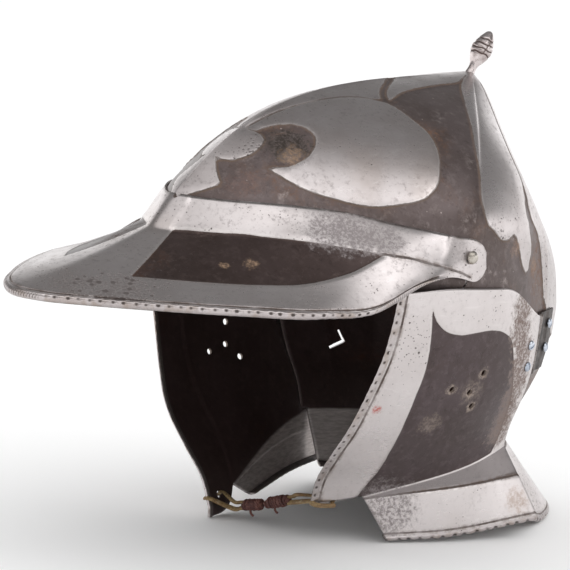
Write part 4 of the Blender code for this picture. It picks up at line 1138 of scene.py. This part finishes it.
def make_peak(outer, inner, rope):
    bearings = even_bearings(PEAK_COLUMNS)
    across = np.concatenate((np.linspace(0.0, 1.0, BAND_ROWS + 1),
                             np.linspace(1.0, 2.0, BRIM_ROWS + 1)[1:]))
    points = peak_soft(bearings, across)
    flat = np.stack((np.abs(points[..., 0]), points[..., 1]), axis=-1)
    loop = loop_of(PANEL)
    panel = field(loop, flat, loop, flat)
    brim = np.broadcast_to((across > 0.999)[:, None], panel.shape)
    panel = np.where(brim, panel, -np.abs(panel) - 0.4)
    rim = gap(points, points[-1])
    groove = rim - BORDER
    middle = np.array(MIDDLE_LINE)
    line = nearest(middle, flat.reshape(-1, 2)).reshape(panel.shape)
    line = np.where(flat[..., 0] > middle[0, 0], line, -line)
    on_band = ~brim
    turns = np.abs(bearings)[None, :]
    groove = groove + 40.0 * smooth(ROLL_END - 2.0, ROLL_END, turns)
    hem = nearest(np.array(ARM_LINE), points[..., 1:].reshape(-1, 2)).reshape(panel.shape)
    hem = np.where(flat[..., 0] > 80.0, hem, FAR)
    groove = np.where(hem < np.abs(groove), hem, groove)
    worn_edge = gap(points, points[0]) + 0.3
    groove = np.where(worn_edge < np.abs(groove), worn_edge, groove)

    relief = -skull_relief(panel) + SUNK + RAISED
    stepped = smooth(-0.6, 0.9, line) * on_band * smooth(55.0, 20.0, np.abs(bearings))
    relief = relief - 0.6 * stepped
    sunk = smooth(BORDER + 0.8, BORDER - 0.4, rim) * smooth(ROLL_END, ROLL_END - 4.0, turns)
    relief = relief - 0.35 * sunk
    close_fit = np.exp(-(across / 0.10) ** 2)[:, None] * smooth(78.0, 62.0, turns)
    relief = relief - 0.5 * close_fit
    points = points + facing(points, PEAK_HEART) * relief[..., None]
    fields = {"field_a": -panel, "field_b": np.full(panel.shape, -FAR), "groove": groove,
              "skirt": np.full(panel.shape, -FAR)}
    shape = grid_plate(points, fields)
    turn_out(shape, PEAK_HEART)
    peak = piece("peak_plate", shape, "peak", "peak", outer, inner)
    thicken(peak, PEAK_PLATE)
    notch = peak_soft(np.array((SEAM_NOTCH_BEARING,)), (0.0,))[0, 0]
    pierce(peak, [punch(notch - (0.0, 0.0, 0.6), (0.0, 1.0, 0.15), 1.4)])
    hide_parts("peak")

    fine = even_bearings(460)
    fine = fine[np.abs(fine) <= ROLL_END]
    rows = peak_soft(fine, (1.97, 2.0))
    radius = EDGE_ROLL - 1.5 * smooth(ROLL_END - 4.0, ROLL_END, np.abs(fine))
    proud = 0.5 * smooth(64.0, 72.0, np.abs(fine))
    hatch = np.maximum(smooth(15.0, 9.0, np.abs(fine)), smooth(66.0, 72.0, np.abs(fine)))
    depth = 1.0 - hatch
    roped("peak_rope", rows, PEAK_HEART, radius, "peak", "peak", rope, 3, depth=depth,
          hatch=hatch, proud=proud)


NOTCH_WIDTH, WAVE_WIDTH, HATCH_PITCH, ROUND_STEPS = 0.22, 0.34, 1.45, 25
NOTCH_DEPTH, WAVE_DEPTH, HATCH_DEPTH = 0.34, 0.11, 0.09


def roped(name, rows, inside, radius, body, slot, material, seed, pitch=5.4, lean=0.2,
          notch_at=(36.0, 34.0), flat=1.0, depth=1.0, hatch=0.0, proud=0.0):
    """A turned edge filed like rope. rows are the places just inside the edge and on it,
    notch_at the middle and spread of the notches round the roll, in degrees."""
    edge = rows[1]
    along = unit(rows[1] - rows[0])
    tangent = unit(np.gradient(edge, axis=0))
    normal = away_from(inside, unit(np.cross(along, tangent)), edge)
    run = run_along(edge)
    draw = np.random.default_rng(seed)
    count = int(run[-1] / pitch) + 2
    centres = (np.arange(count) + draw.uniform(-0.13, 0.13, count)) * pitch
    depths = draw.uniform(0.6, 1.0, count)
    shifts = draw.uniform(-5.0, 5.0, count)
    degrees = np.linspace(-180.0, 180.0, ROUND_STEPS)[:, None]
    angles = np.radians(degrees)
    notch, wave = np.zeros((2, ROUND_STEPS, len(edge)))
    for centre, strong, shift in zip(centres, depths, shifts):
        away = (run[None, :] - centre - lean * pitch * np.sin(angles)) / pitch
        spread = ((degrees - notch_at[0] - shift) / notch_at[1]) ** 2
        notch = np.maximum(notch, strong * np.exp(-(away / NOTCH_WIDTH) ** 2 - spread ** 2))
        wave = np.maximum(wave, strong * np.exp(-(away / WAVE_WIDTH) ** 2))
    notch = notch * depth
    wave = wave * depth * smooth(60.0, 95.0, degrees) * smooth(170.0, 130.0, degrees)
    lines = 0.5 + 0.5 * np.cos(2.0 * np.pi * (run[None, :] + 1.1 * np.sin(angles)) / HATCH_PITCH)
    lines = lines * hatch * smooth(0.0, 25.0, degrees) * smooth(125.0, 100.0, degrees)
    size = radius * (0.985 - NOTCH_DEPTH * notch - WAVE_DEPTH * wave - HATCH_DEPTH * lines)
    turn = angles[..., None]
    centre = edge - normal * (flat * (1.0 - proud) * np.asarray(radius))[..., None]
    points = centre + size[..., None] * (np.sin(turn) * along + flat * np.cos(turn) * normal)
    points = np.clip(points, (-OUTER_X, TIP_Y, 0.0), (OUTER_X, OUTER_Y, TOP_Z))
    root = np.maximum(smooth(-25.0, -60.0, degrees), smooth(125.0, 150.0, degrees)) + 0.0 * notch
    fields = {"notch": np.maximum(notch, 0.75 * lines), "root": root}
    piece(name, cap(grid_plate(points, fields)), body, slot, material, sharp=60.0)


# ---- cheeks ----

CHEEK_COLUMNS, PLATE_ROWS, FLANGE_ROWS = (22, 62), 92, 32
# Black panel by distance back and height, above the neck crease
CHEEK_PANEL = (
    ((-8, 131), (-3.5, 124), (3, 119), (12, 116.5), (24, 117), (36, 117.5),
     (46, 115.5), (54, 111), (58.5, 103), (63, 92), (68.5, 79), (73, 66),
     (74.5, 55), (72, 44)),
    ((72, 44), (72, 10), (2, 10), (3.5, 26)),
    ((3.5, 26), (5, 37), (2, 52), (-1, 68), (-2, 84), (-2, 98),
     (-4, 112), (-8, 131)),
)
BREATH_PLACE, BREATH_RADIUS = (30.4, 82.2), 1.7
BREATHS = {
    "left": ((0.7, 0.5), (6.6, 11.0), (-11.9, 2.0), (6.0, -7.2)),
    "right": ((0.0, 1.3), (2.4, 12.8), (-13.5, 0.3), (9.0, -7.0)),
}
LACE_SHARE, LACE_HEIGHT = 0.115, {"left": 16.5, "right": 19.0}


def share_at(side, back, height):
    """How far back along a cheek a place lies."""
    shares = np.linspace(0.0, 1.0, 201)
    return shares[np.argmin(np.abs(cheek_at(side, shares, height)[:, 1] - back))]


def cheek_holes(side):
    cutters = []
    for number, (back, up) in enumerate(BREATHS[side]):
        height = BREATH_PLACE[1] + up
        share = share_at(side, BREATH_PLACE[0] + back, height)
        place, out = cheek_face(side, share, height)
        cutters.append(punch(place, out, BREATH_RADIUS + 0.1 * (number % 2)))
    place, out = cheek_face(side, LACE_SHARE, LACE_HEIGHT[side])
    cutters.append(punch(place, out, 2.1))
    return cutters


def make_cheek(side, outer, inner, rope):
    u = np.concatenate((np.linspace(0.0, CREASE_START, CHEEK_COLUMNS[0] + 1),
                        np.linspace(CREASE_START, 1.0, CHEEK_COLUMNS[1] + 1)[1:]))
    down = np.linspace(0.0, 1.0, PLATE_ROWS + 1)[:, None]
    share = np.linspace(0.0, 1.0, FLANGE_ROWS + 1)[1:, None]
    plate = cheek_plate(side, u[None, :] + 0.0 * down, down)
    flange = cheek_flange(side, np.maximum(u, CREASE_START)[None, :] + 0.0 * share, share)
    points = np.concatenate((plate, flange))
    flat = points[..., 1:].copy()
    loop = loop_of(CHEEK_PANEL)
    panel = field(loop, flat, loop, flat)
    below = np.zeros(points.shape[:2], bool)
    below[PLATE_ROWS + 1:] = True
    crease = gap(points, plate[-1])
    panel = np.where(below, -crease - 0.3, np.minimum(panel, crease + 0.4))
    front = gap(points, points[:, :1]) - BORDER
    foot = gap(points, flange[-1]) - BORDER
    lit = (share - 0.06 - 0.36 * (u - CREASE_START) / (1.0 - CREASE_START)) * 40.0
    groove = np.where(below, foot, front)
    band_line = np.full(points.shape[:2], FAR)
    band_line[PLATE_ROWS + 1:] = lit
    groove = np.where(np.abs(band_line) < np.abs(groove), band_line, groove)

    relief = -skull_relief(panel) + SUNK + RAISED
    relief = relief - 0.6 * smooth(0.8, -0.8, band_line)
    relief = relief - 0.3 * np.where(below, smooth(0.4, -0.8, foot), smooth(0.4, -0.8, front))
    points = points + facing(points, CHEEK_HEART) * relief[..., None]
    rows = np.arange(PLATE_ROWS + FLANGE_ROWS)[:, None]
    columns = np.arange(len(u) - 1)
    keep = (rows < PLATE_ROWS) | (columns >= CHEEK_COLUMNS[0])
    fields = {"field_a": -panel, "field_b": np.full(panel.shape, -FAR), "groove": groove,
              "skirt": np.where(below, crease, -crease)}
    shape = grid_plate(points, fields, keep)
    turn_out(shape, CHEEK_HEART)
    cheek = piece("cheek_plate_" + side, shape, "helmet", "cheek_" + side, outer, inner)
    thicken(cheek, CHEEK_PLATE)
    pierce(cheek, cheek_holes(side))
    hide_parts("cheek_" + side)

    fine = np.linspace(0.0, 1.0, 240)
    rows = np.stack([cheek_plate(side, at + 0.0 * fine, fine) for at in (0.012, 0.0)])
    roped("cheek_rope_" + side, rows, CHEEK_HEART, EDGE_ROLL + 0.0 * fine, "helmet",
          "cheek_" + side, rope, 11, pitch=5.5, lean=0.0, notch_at=(20.0, 30.0), flat=0.45)
    fine = np.linspace(CREASE_START, 1.0, 200)
    rows = np.stack([cheek_flange(side, fine, at) for at in (0.97, 1.0)])
    roped("flange_rope_" + side, rows, CHEEK_HEART, EDGE_ROLL + 0.0 * fine, "helmet",
          "cheek_" + side, rope, 12, pitch=6.4, lean=0.0, notch_at=(50.0, 48.0))


def make_nape_rope(rope):
    half = np.linspace(NAPE_BEARING, 180.0, 260)
    fine = np.concatenate((half, 360.0 - half[-2::-1]))
    turned = np.where(fine > 180.0, fine - 360.0, fine)
    rows = np.stack([nape(turned, at) for at in (0.97, 1.0)])
    roped("nape_rope", rows, SKULL_HEART, EDGE_ROLL + 0.0 * fine, "helmet", "skull", rope,
          21, pitch=6.0, lean=0.0, notch_at=(50.0, 48.0))


# ---- turned pieces ----


def turned_shape(profile, steps):
    """Spin a profile of radius and height pairs, top to bottom, about its axis."""
    shape = bmesh.new()
    corners = [shape.verts.new((radius * MM, 0.0, height * MM)) for radius, height in profile]
    edges = [shape.edges.new(pair) for pair in zip(corners[:-1], corners[1:])]
    bmesh.ops.spin(shape, geom=corners + edges, cent=(0, 0, 0), axis=(0, 0, 1),
                   angle=2.0 * math.pi, steps=steps, use_merge=True, use_duplicate=False)
    bmesh.ops.remove_doubles(shape, verts=shape.verts, dist=0.02 * MM)
    bmesh.ops.recalc_face_normals(shape, faces=shape.faces)
    return shape


def rounded(profile, steps):
    """More points along a profile, on a smooth curve."""
    profile = np.array(profile, float)
    run = run_along(profile)
    fine = splines(run, profile, np.linspace(0.0, run[-1], steps * (len(profile) - 1) + 1))
    fine[:, 0] = np.maximum(fine[:, 0], 0.0)
    return [tuple(pair) for pair in fine]


FINIAL_LEAN, FINIAL_LIFT = 33.5, 0.3
FINIAL_PROFILE = ((0.0, 25.0), (1.5, 24.2), (3.3, 21.4), (4.9, 17.6), (5.9, 13.8), (5.7, 11.2),
                  (4.7, 8.4), (3.6, 6.0), (2.7, 4.2), (2.3, 2.8), (2.2, 1.2), (2.5, -1.0))
# Bands cut across the bud: height, and how far each slants
FINIAL_CUTS = ((19.2, 0.9), (16.2, 1.2), (13.2, 1.1), (10.4, 0.8))
FINIAL_SEAMS = (-1.15, 0.95, 3.0)


def make_finial(material):
    lean = math.radians(FINIAL_LEAN)
    axis = np.array((0.0, math.sin(lean), math.cos(lean)))
    profile = rounded(FINIAL_PROFILE, 7) + [(2.6, -2.4), (0.0, -2.4)]
    shape = turned_shape(profile, 64)
    cut = shape.verts.layers.float.new("cut")
    for corner in shape.verts:
        x, y, z = (value / MM for value in corner.co)
        turn = math.atan2(y, x)
        depth = 0.0
        for height, swing in FINIAL_CUTS:
            middle = height + swing * math.sin(turn) + 0.25 * math.sin(5.0 * turn + height)
            depth = max(depth, math.exp(-((z - middle) / 0.45) ** 2))
        for seam in FINIAL_SEAMS:
            away = math.remainder(turn - seam - 0.03 * z, 2.0 * math.pi) * 5.0 / 0.5
            length = float(smooth(8.0, 10.0, z) * smooth(20.0, 18.0, z))
            depth = max(depth, 0.8 * length * math.exp(-away ** 2))
        corner[cut] = depth
        share = 1.0 - 0.10 * depth
        corner.co.x *= share
        corner.co.y *= share
    stand(shape, APEX + axis * FINIAL_LIFT, axis, 200.0)
    finial = piece("finial_bud", shape, "helmet", "finial", material, sharp=60.0)
    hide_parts("finial")


DOME_HEIGHT, RIVET_SPIN = 2.4, 36
RIVET_DOME = ((0.0, 2.4), (1.3, 2.25), (2.4, 1.7), (3.1, 0.9), (3.4, 0.25), (3.4, 0.0))


def make_pivots(material):
    """Domed pivots of the peak, hammered over washers inside the skull."""
    for side, sign in SIDES.items():
        low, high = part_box("pivot_rivet_" + side)
        length = (high.x - low.x) / MM
        foot = DOME_HEIGHT - length
        shank = [(2.0, -0.02), (2.0, foot + 1.2), (2.9, foot + 1.0), (2.7, foot + 0.2),
                 (2.2, foot), (0.0, foot)]
        shape = turned_shape(rounded(RIVET_DOME, 4) + shank, RIVET_SPIN)
        draw = np.random.default_rng(31 if side == "left" else 32)
        for corner in shape.verts:
            corner.co += Vector(draw.uniform(-0.03, 0.03, 3)) * MM
        head = (high.x if side == "left" else low.x) / MM - DOME_HEIGHT * sign
        stand(shape, (head, PIVOT_Y, box_middle("pivot_rivet_left")[2]), (sign, 0.0, 0.0))
        rivet = piece("pivot_head_" + side, shape, "helmet", "pivot_rivet_" + side, material)
        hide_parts("pivot_rivet_" + side)


SCREW_REACH = 3.6
SCREW_DOME = ((0.0, 1.5), (1.1, 1.4), (1.9, 1.1), (2.4, 0.6), (2.6, 0.1), (2.6, 0.0))
LEAF_GAP, LEAF_PLATE = 0.4, 1.0
CHEEK_SCREWS, CHEEK_SCREW_SHARE = (106.0, 94.5), 0.93
SKULL_SCREWS, SKULL_SCREW_BEARING = (114.0, 101.0), 127.0


def make_screw(leaf, side, number, place, out, turn, material):
    node = f"hinge_screw_{leaf}_{side}_{number}"
    shank = [(1.2, -0.02), (1.2, -SCREW_REACH), (0.0, -SCREW_REACH)]
    shape = stand(turned_shape(rounded(SCREW_DOME, 3) + shank, 32), place, out)
    screw = piece(f"{leaf}_screw_{side}_{number}", shape, "helmet", node, material)
    slot = slit(np.array(place) + np.array(out) * 1.5, out, (8.0, 0.75, 1.3), turn)
    pierce(screw, [slot])
    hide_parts(node)


def make_hinges(steel, fixing, leaf):
    for side in SIDES:
        mirror = flipped(side)
        for k, height in enumerate(CHEEK_SCREWS):
            place, out = cheek_face(side, CHEEK_SCREW_SHARE, height)
            make_screw("cheek", side, k + 1, place + out * 0.35, out, 30.0 + 70.0 * k, fixing)
        for k, height in enumerate(SKULL_SCREWS):
            out = outward(SKULL_SCREW_BEARING)
            place = outline(SKULL_SCREW_BEARING, height) + out * (LEAF_PLATE + LEAF_GAP + 0.5)
            make_screw("skull", side, k + 1, place * mirror, out * mirror, 55.0 + 40.0 * k, fixing)
        make_knuckles(side, steel)
        for node in ("hinge_cheek_", "hinge_skull_"):
            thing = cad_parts[node + side]
            thing.data.materials.clear()
            thing.data.materials.append(leaf)


PIN_BEARING, PIN_RADIUS, PIN_STAND = 118.35, 1.7, 2.3
LEAF_LOW, LEAF_HIGH, BARRELS = 89.0, 121.0, 5


def make_knuckles(side, material):
    """Rolled barrels of the hinge on their pin, with the joints between them."""
    low = outline(PIN_BEARING, LEAF_LOW) + outward(PIN_BEARING) * PIN_STAND
    high = outline(PIN_BEARING, LEAF_HIGH) + outward(PIN_BEARING) * PIN_STAND
    length = float(np.linalg.norm(high - low))
    profile = [(0.0, length), (1.0, length)]
    for k in range(BARRELS):
        top = length - 0.3 - k * (length - 0.6) / BARRELS
        foot = length - 0.3 - (k + 1) * (length - 0.6) / BARRELS
        profile += [(PIN_RADIUS - 0.45, top), (PIN_RADIUS - 0.1, top - 0.12),
                    (PIN_RADIUS, top - 0.5), (PIN_RADIUS, foot + 0.5),
                    (PIN_RADIUS - 0.1, foot + 0.12), (PIN_RADIUS - 0.45, foot + 0.02)]
    profile += [(1.0, 0.0), (0.0, 0.0)]
    shape = turned_shape(profile, 24)
    stand(shape, low * flipped(side), (high - low) * flipped(side))
    pin = piece("hinge_barrel_" + side, shape, "helmet", "hinge_pin_" + side, material)
    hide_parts("hinge_pin_" + side)


# ---- lace ----

THONG_RADIUS, KNOT_RADIUS, CORD_RADIUS = 1.2, 3.2, 0.62
KNOTS = {"right": ((-21.0, -15.0, 9.0), (-8.1, -14.0, 11.8)),
         "left": ((-6.6, -13.6, 12.6), (10.5, -13.0, 18.0))}
# Places down a knot's loose tail, from the knot's middle
KNOT_TAIL = np.array(((0.4, -1.6, -2.2), (1.4, -2.2, -3.8), (2.3, -2.0, -4.8), (2.8, -1.4, -5.3)))


def swept(path, sides, shape_at, fields):
    """A strand along a run of places. shape_at gives the section's half width and half
    height at each place; fields add values by (turn, run)."""
    path = np.asarray(path, float)
    tangent = unit(np.gradient(path, axis=0))
    side = np.zeros_like(path)
    side[0] = unit(np.cross(tangent[0], (0.3, 0.2, 1.0)))
    for k in range(1, len(path)):
        side[k] = side[k - 1] - tangent[k] * (side[k - 1] @ tangent[k])
        side[k] /= np.linalg.norm(side[k])
    up = np.cross(tangent, side)
    turn = np.linspace(0.0, 2.0 * np.pi, sides + 1)[:, None]
    run = run_along(path)
    wide, thick = shape_at(run / run[-1])
    points = (path + (np.cos(turn) * wide)[..., None] * side
              + (np.sin(turn) * thick)[..., None] * up)
    return cap(grid_plate(points, {name: value(turn, run) for name, value in fields.items()}))


def thong_path(side):
    hole, out = cheek_face(side, LACE_SHARE, LACE_HEIGHT[side])
    edge, _ = cheek_face(side, 0.0, LACE_HEIGHT[side])
    ahead = unit(edge - hole)
    edge = edge - ahead * 0.4
    near, far = (np.array(end) for end in KNOTS[side])
    if side == "left":
        near, far = far, near
    towards = unit(near - far)
    start = near + towards * (THONG_RADIUS + 0.6)
    rise = np.array((0.0, 0.0, THONG_RADIUS + 0.35))
    path = np.array((
        start + rise - towards * 3.0, start + rise, start + towards * 5.0 + rise * 1.2,
        hole - out * 3.6 + rise * 0.4, hole - out * (0.5 * CHEEK_PLATE), hole + out * 1.6,
        edge + out * 1.6 - ahead * 1.0, edge + ahead * 1.9 - out * 0.6,
        edge + ahead * 1.2 - out * 3.4 - rise * 0.8, start + towards * 5.0 - rise * 1.2,
        start - rise, start - rise - towards * 3.0))
    return splines(np.arange(len(path)), path, np.linspace(0.0, len(path) - 1.0, 120))


def whipping_path(near, far, turns, radius, seed):
    """A cord wound round a knot, its turns wandering a little."""
    axis = far - near
    length = np.linalg.norm(axis)
    axis = axis / length
    side = unit(np.cross(axis, (0.0, 0.3, 1.0)))
    up = np.cross(axis, side)
    draw = np.random.default_rng(seed)
    at = np.linspace(0.0, 1.0, int(turns * 26))
    turn = 2.0 * np.pi * turns * at
    wobble = splines(np.linspace(0.0, 1.0, 12), draw.uniform(-0.35, 0.35, (12, 2)), at)
    swell = radius * (0.86 + 0.14 * np.sin(np.pi * np.clip(at * 1.06, 0.0, 1.0))) + wobble[:, 0]
    spot = near + axis * (length * (0.08 + 0.84 * at) + wobble[:, 1])[:, None]
    return spot + (np.cos(turn) * swell)[:, None] * side + (np.sin(turn) * swell)[:, None] * up


def make_lace(leather, cord):
    def round_cord(t):
        return CORD_RADIUS + 0.0 * t, CORD_RADIUS + 0.0 * t

    def strap(t):
        return 1.45 + 0.25 * np.sin(9.0 * t), 0.85 + 0.1 * np.sin(14 * t)

    def heart(t):
        return (1.7 + 0.6 * np.sin(np.pi * t),) * 2

    lay = {"lay": lambda turn, run: turn / np.pi + run / 1.4}
    for number, side in enumerate(SIDES):
        flat = swept(thong_path(side), 14, strap, {"lay": lambda turn, run: turn + 0.0 * run})
        thong = piece("lace_leather_" + side, flat, "helmet", "lace_thong_" + side, leather)
        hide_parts("lace_thong_" + side)
        near, far = (np.array(end) for end in KNOTS[side])
        wound = whipping_path(near, far, 10.0, KNOT_RADIUS - CORD_RADIUS, 41 + number)
        middle = [near + (far - near) * t for t in np.linspace(0.03, 0.97, 14)]
        drop = near + (far - near) * 0.45 + KNOT_TAIL
        tail = splines(np.arange(4), drop, np.linspace(0.0, 3.0, 24))
        parts = (("whipping", wound, 10, round_cord), ("core", middle, 14, heart),
                 ("tail", tail, 10, round_cord))
        for name, path, sides, size in parts:
            strand = swept(path, sides, size, lay)
            knot = piece(f"lace_{name}_{side}", strand, "helmet", "lace_knot_" + side, cord,
                         sharp=0)
            if name == "whipping":
                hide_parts("lace_knot_" + side)


# ---- studio ----


def make_lamp(name, place, size, power):
    lamp = bpy.data.lights.new(name, "AREA")
    lamp.shape = "RECTANGLE"
    lamp.size, lamp.size_y = size
    lamp.energy = power
    thing = bpy.data.objects.new(name, lamp)
    bpy.context.scene.collection.objects.link(thing)
    place = Vector(place)
    thing.location = place
    aim = Vector((0.0, 0.0, 0.12)) - place
    thing.rotation_euler = aim.to_track_quat("-Z", "Y").to_euler()


# Light on the room as a surface mirrors it, and on everything else
WALL_LIGHT, CEILING_LIGHT, ROOM_LIGHT = 1.55, 0.23, 1.12
FLOOR_SIZE, FLOOR_DROP = 9.0, 0.0002
# Soft boxes: direction, cosine where each begins and is full, and brightness
SOFT_BOXES = (((0.65, -0.03, 0.72), 0.79, 0.97, 1.05), ((0.10, -0.45, 0.87), 0.80, 0.97, 0.78))


def make_studio():
    """A white room: pale low walls all round, a dim ceiling and two big soft boxes."""
    world = bpy.data.worlds.new("studio")
    bpy.context.scene.world = world
    world.use_nodes = True
    w = Wiring(world.node_tree)
    direction = w.node("TexCoord").outputs["Generated"]
    height = w.node("SeparateXYZ", {}, {0: direction}).outputs[2]
    lit = w.step(height, 0.42, 0.06, CEILING_LIGHT, WALL_LIGHT)
    for toward, start, full, power in SOFT_BOXES:
        facing = w.node("VectorMath", {"operation": "DOT_PRODUCT"},
                        {0: direction, 1: tuple(Vector(toward).normalized())}).outputs["Value"]
        lit = w.mad(w.step(facing, start, full), power, lit)
    bounce = w.node("LightPath").outputs["Is Glossy Ray"]
    strength = w.mad(w.sub(lit, ROOM_LIGHT), bounce, ROOM_LIGHT)
    w.feed(world.node_tree.nodes["Background"].inputs["Strength"], strength)
    world.node_tree.nodes["Background"].inputs["Color"].default_value = (1.0, 1.0, 1.0, 1.0)
    make_lamp("overhead_box", (1.45, 0.75, 1.9), (1.0, 1.0), 3.0)

    shape = bmesh.new()
    bmesh.ops.create_grid(shape, x_segments=8, y_segments=8, size=FLOOR_SIZE)
    bmesh.ops.translate(shape, vec=(0.0, 0.0, -FLOOR_DROP), verts=shape.verts)
    material, w, shader = finish("floor_paper", 0.0)
    shade = w.fog(3.0, 2.0, 0.5, 0.3, 0.7)
    dress(w, shader, w.blend(shade, (0.93, 0.93, 0.93), (0.95, 0.95, 0.95)), 0.9)
    shader.inputs["Specular IOR Level"].default_value = 0.1
    new_object("floor", shape, (material,))
    bpy.context.scene.view_settings.view_transform = "Standard"


# ---- build ----

RED_PAINT, FRESH_RUST = (0.42, 0.05, 0.03), (0.30, 0.165, 0.085)
SCORCH, PAINTED_SHADE_GREY, REAR_BROWN = (0.030, 0.020, 0.015), (0.235, 0.205, 0.205), (0.190, 0.140, 0.122)
OCHRE, RIM_OCHRE, BUFF = (0.420, 0.270, 0.160), (0.420, 0.335, 0.270), (0.300, 0.235, 0.190)
# Spots on each plate: place, size, colour and cover. A dark one is laid more than once.
# The grey ones are painted shade, standing in for a darker reflection.
SKULL_SPOTS = (
    ((22.0, -47.0, 205.0), 12.5, SCORCH, 1.0), ((23.0, -45.0, 205.0), 11.5, SCORCH, 1.0),
    ((24.0, -44.0, 204.0), 11.0, SCORCH, 1.0),
    ((29.0, -48.0, 200.0), 6.5, (0.360, 0.235, 0.155), 0.60),
    ((24.0, -43.0, 203.5), 3.0, (0.300, 0.190, 0.120), 0.45),
    ((21.5, -75.5, 186.0), 10.0, (0.135, 0.070, 0.055), 0.45),
    ((26.0, -70.0, 187.5), 7.0, (0.150, 0.080, 0.060), 0.40),
    ((88.0, 56.0, 157.0), 5.0, (0.300, 0.185, 0.125), 0.5),
    ((84.0, 78.0, 146.0), 5.0, (0.300, 0.170, 0.095), 0.55),
)
# The grey patches on the peak's band and arm are painted shade
PEAK_SPOTS = (
    ((62.0, -54.0, 168.0), 13.0, PAINTED_SHADE_GREY, 1.0), ((72.0, -43.0, 166.5), 13.0, PAINTED_SHADE_GREY, 1.0),
    ((81.0, -29.0, 164.5), 10.0, PAINTED_SHADE_GREY, 1.0), ((67.0, -48.0, 168.0), 14.0, PAINTED_SHADE_GREY, 1.0),
    ((75.0, -38.0, 166.0), 12.0, PAINTED_SHADE_GREY, 1.0), ((93.0, 8.0, 158.0), 9.0, PAINTED_SHADE_GREY, 0.45),
    ((52.0, -95.0, 152.0), 4.0, OCHRE, 0.6), ((45.0, -106.0, 151.0), 2.6, OCHRE, 0.6),
)
# The grey patch on the front of the flange is painted shade
CHEEK_SPOTS = (
    ((72.5, -20.5, 77.5), 3.0, RED_PAINT, 0.8), ((92.0, 32.0, 84.0), 9.0, BUFF, 0.35),
    ((78.5, 15.0, 68.5), 7.0, BUFF, 0.45), ((78.5, 88.0, 20.5), 8.0, FRESH_RUST, 0.45),
    ((50.5, 16.0, 17.5), 18.0, PAINTED_SHADE_GREY, 1.0),
)
# Brown stain down the rear strip of a cheek
REAR_STAINS = ((94.0, 61.5, 126.0), (94.0, 61.5, 114.0), (92.0, 67.0, 103.0), (89.5, 69.0, 91.0),
               (85.0, 70.5, 80.0), (80.0, 71.5, 69.0), (75.0, 73.0, 59.0))
# Places where pits crowd, and how far
SKULL_PITS = (((91.0, 40.0, 183.0), 26.0), ((89.0, 45.0, 168.0), 16.0),
              ((16.0, -62.0, 203.0), 10.0))
PEAK_PITS = (((26.0, -166.0, 139.0), 34.0),)
# Steels of the barrels, screws and leaves: two tones, roughness and grime
HINGE_STEELS = (
    ("barrel_finish", (0.10, 0.085, 0.080), (0.30, 0.27, 0.26), 0.38, 0.7),
    ("screw_finish", (0.42, 0.46, 0.53), (0.62, 0.66, 0.73), 0.22, 0.25),
    ("leaf_finish", (0.045, 0.038, 0.036), (0.110, 0.095, 0.090), 0.42, 0.5),
)


def cheek_spots(side):
    spots = [(place * flipped(side), *rest) for place, *rest in CHEEK_SPOTS]
    spots += [(place * flipped(side), 10.5, REAR_BROWN, 1.0) for place in REAR_STAINS * 2]
    for back, up in BREATHS[side]:
        height = BREATH_PLACE[1] + up
        share = share_at(side, BREATH_PLACE[0] + back, height)
        spots.append((cheek_face(side, share, height)[0], 3.6, RIM_OCHRE, 0.65))
    return spots


def main():
    inner = inside_finish()
    rope = rope_finish("roped_edge", (0.30, 0.225, 0.17))
    make_skull(plate_finish("skull_finish", rust=0.75, wear=0.45, pit_spots=SKULL_PITS,
                            spots=SKULL_SPOTS), inner)
    make_peak(plate_finish("peak_finish", tone=(0.52, 0.45, 0.43), rust=0.7, wear=0.3,
                           mottle=0.75, pits=0.75, line=0.15, polish=0.2, pit_spots=PEAK_PITS,
                           spots=PEAK_SPOTS), inner, rope)
    for side in SIDES:
        cheek = plate_finish("cheek_finish_" + side, tone=(0.68, 0.65, 0.69), rust=0.2,
                             wear=0.30, mottle=0.45, line=0.1, polish=0.4, soot=0.75,
                             spots=cheek_spots(side))
        make_cheek(side, cheek, inner, rope)
    make_nape_rope(rope)
    make_finial(small_steel("finial_finish", (0.42, 0.36, 0.35), (0.66, 0.60, 0.59), 0.20, 0.5,
                            "cut"))
    make_pivots(small_steel("rivet_finish", (0.40, 0.36, 0.31), (0.62, 0.58, 0.53), 0.22, 0.5))
    barrel, screw, leaf = (small_steel(name, low, high, roughness, grime)
                           for name, low, high, roughness, grime in HINGE_STEELS)
    make_hinges(barrel, screw, leaf)
    make_lace(leather_finish(), cord_finish())
    make_studio()


main()
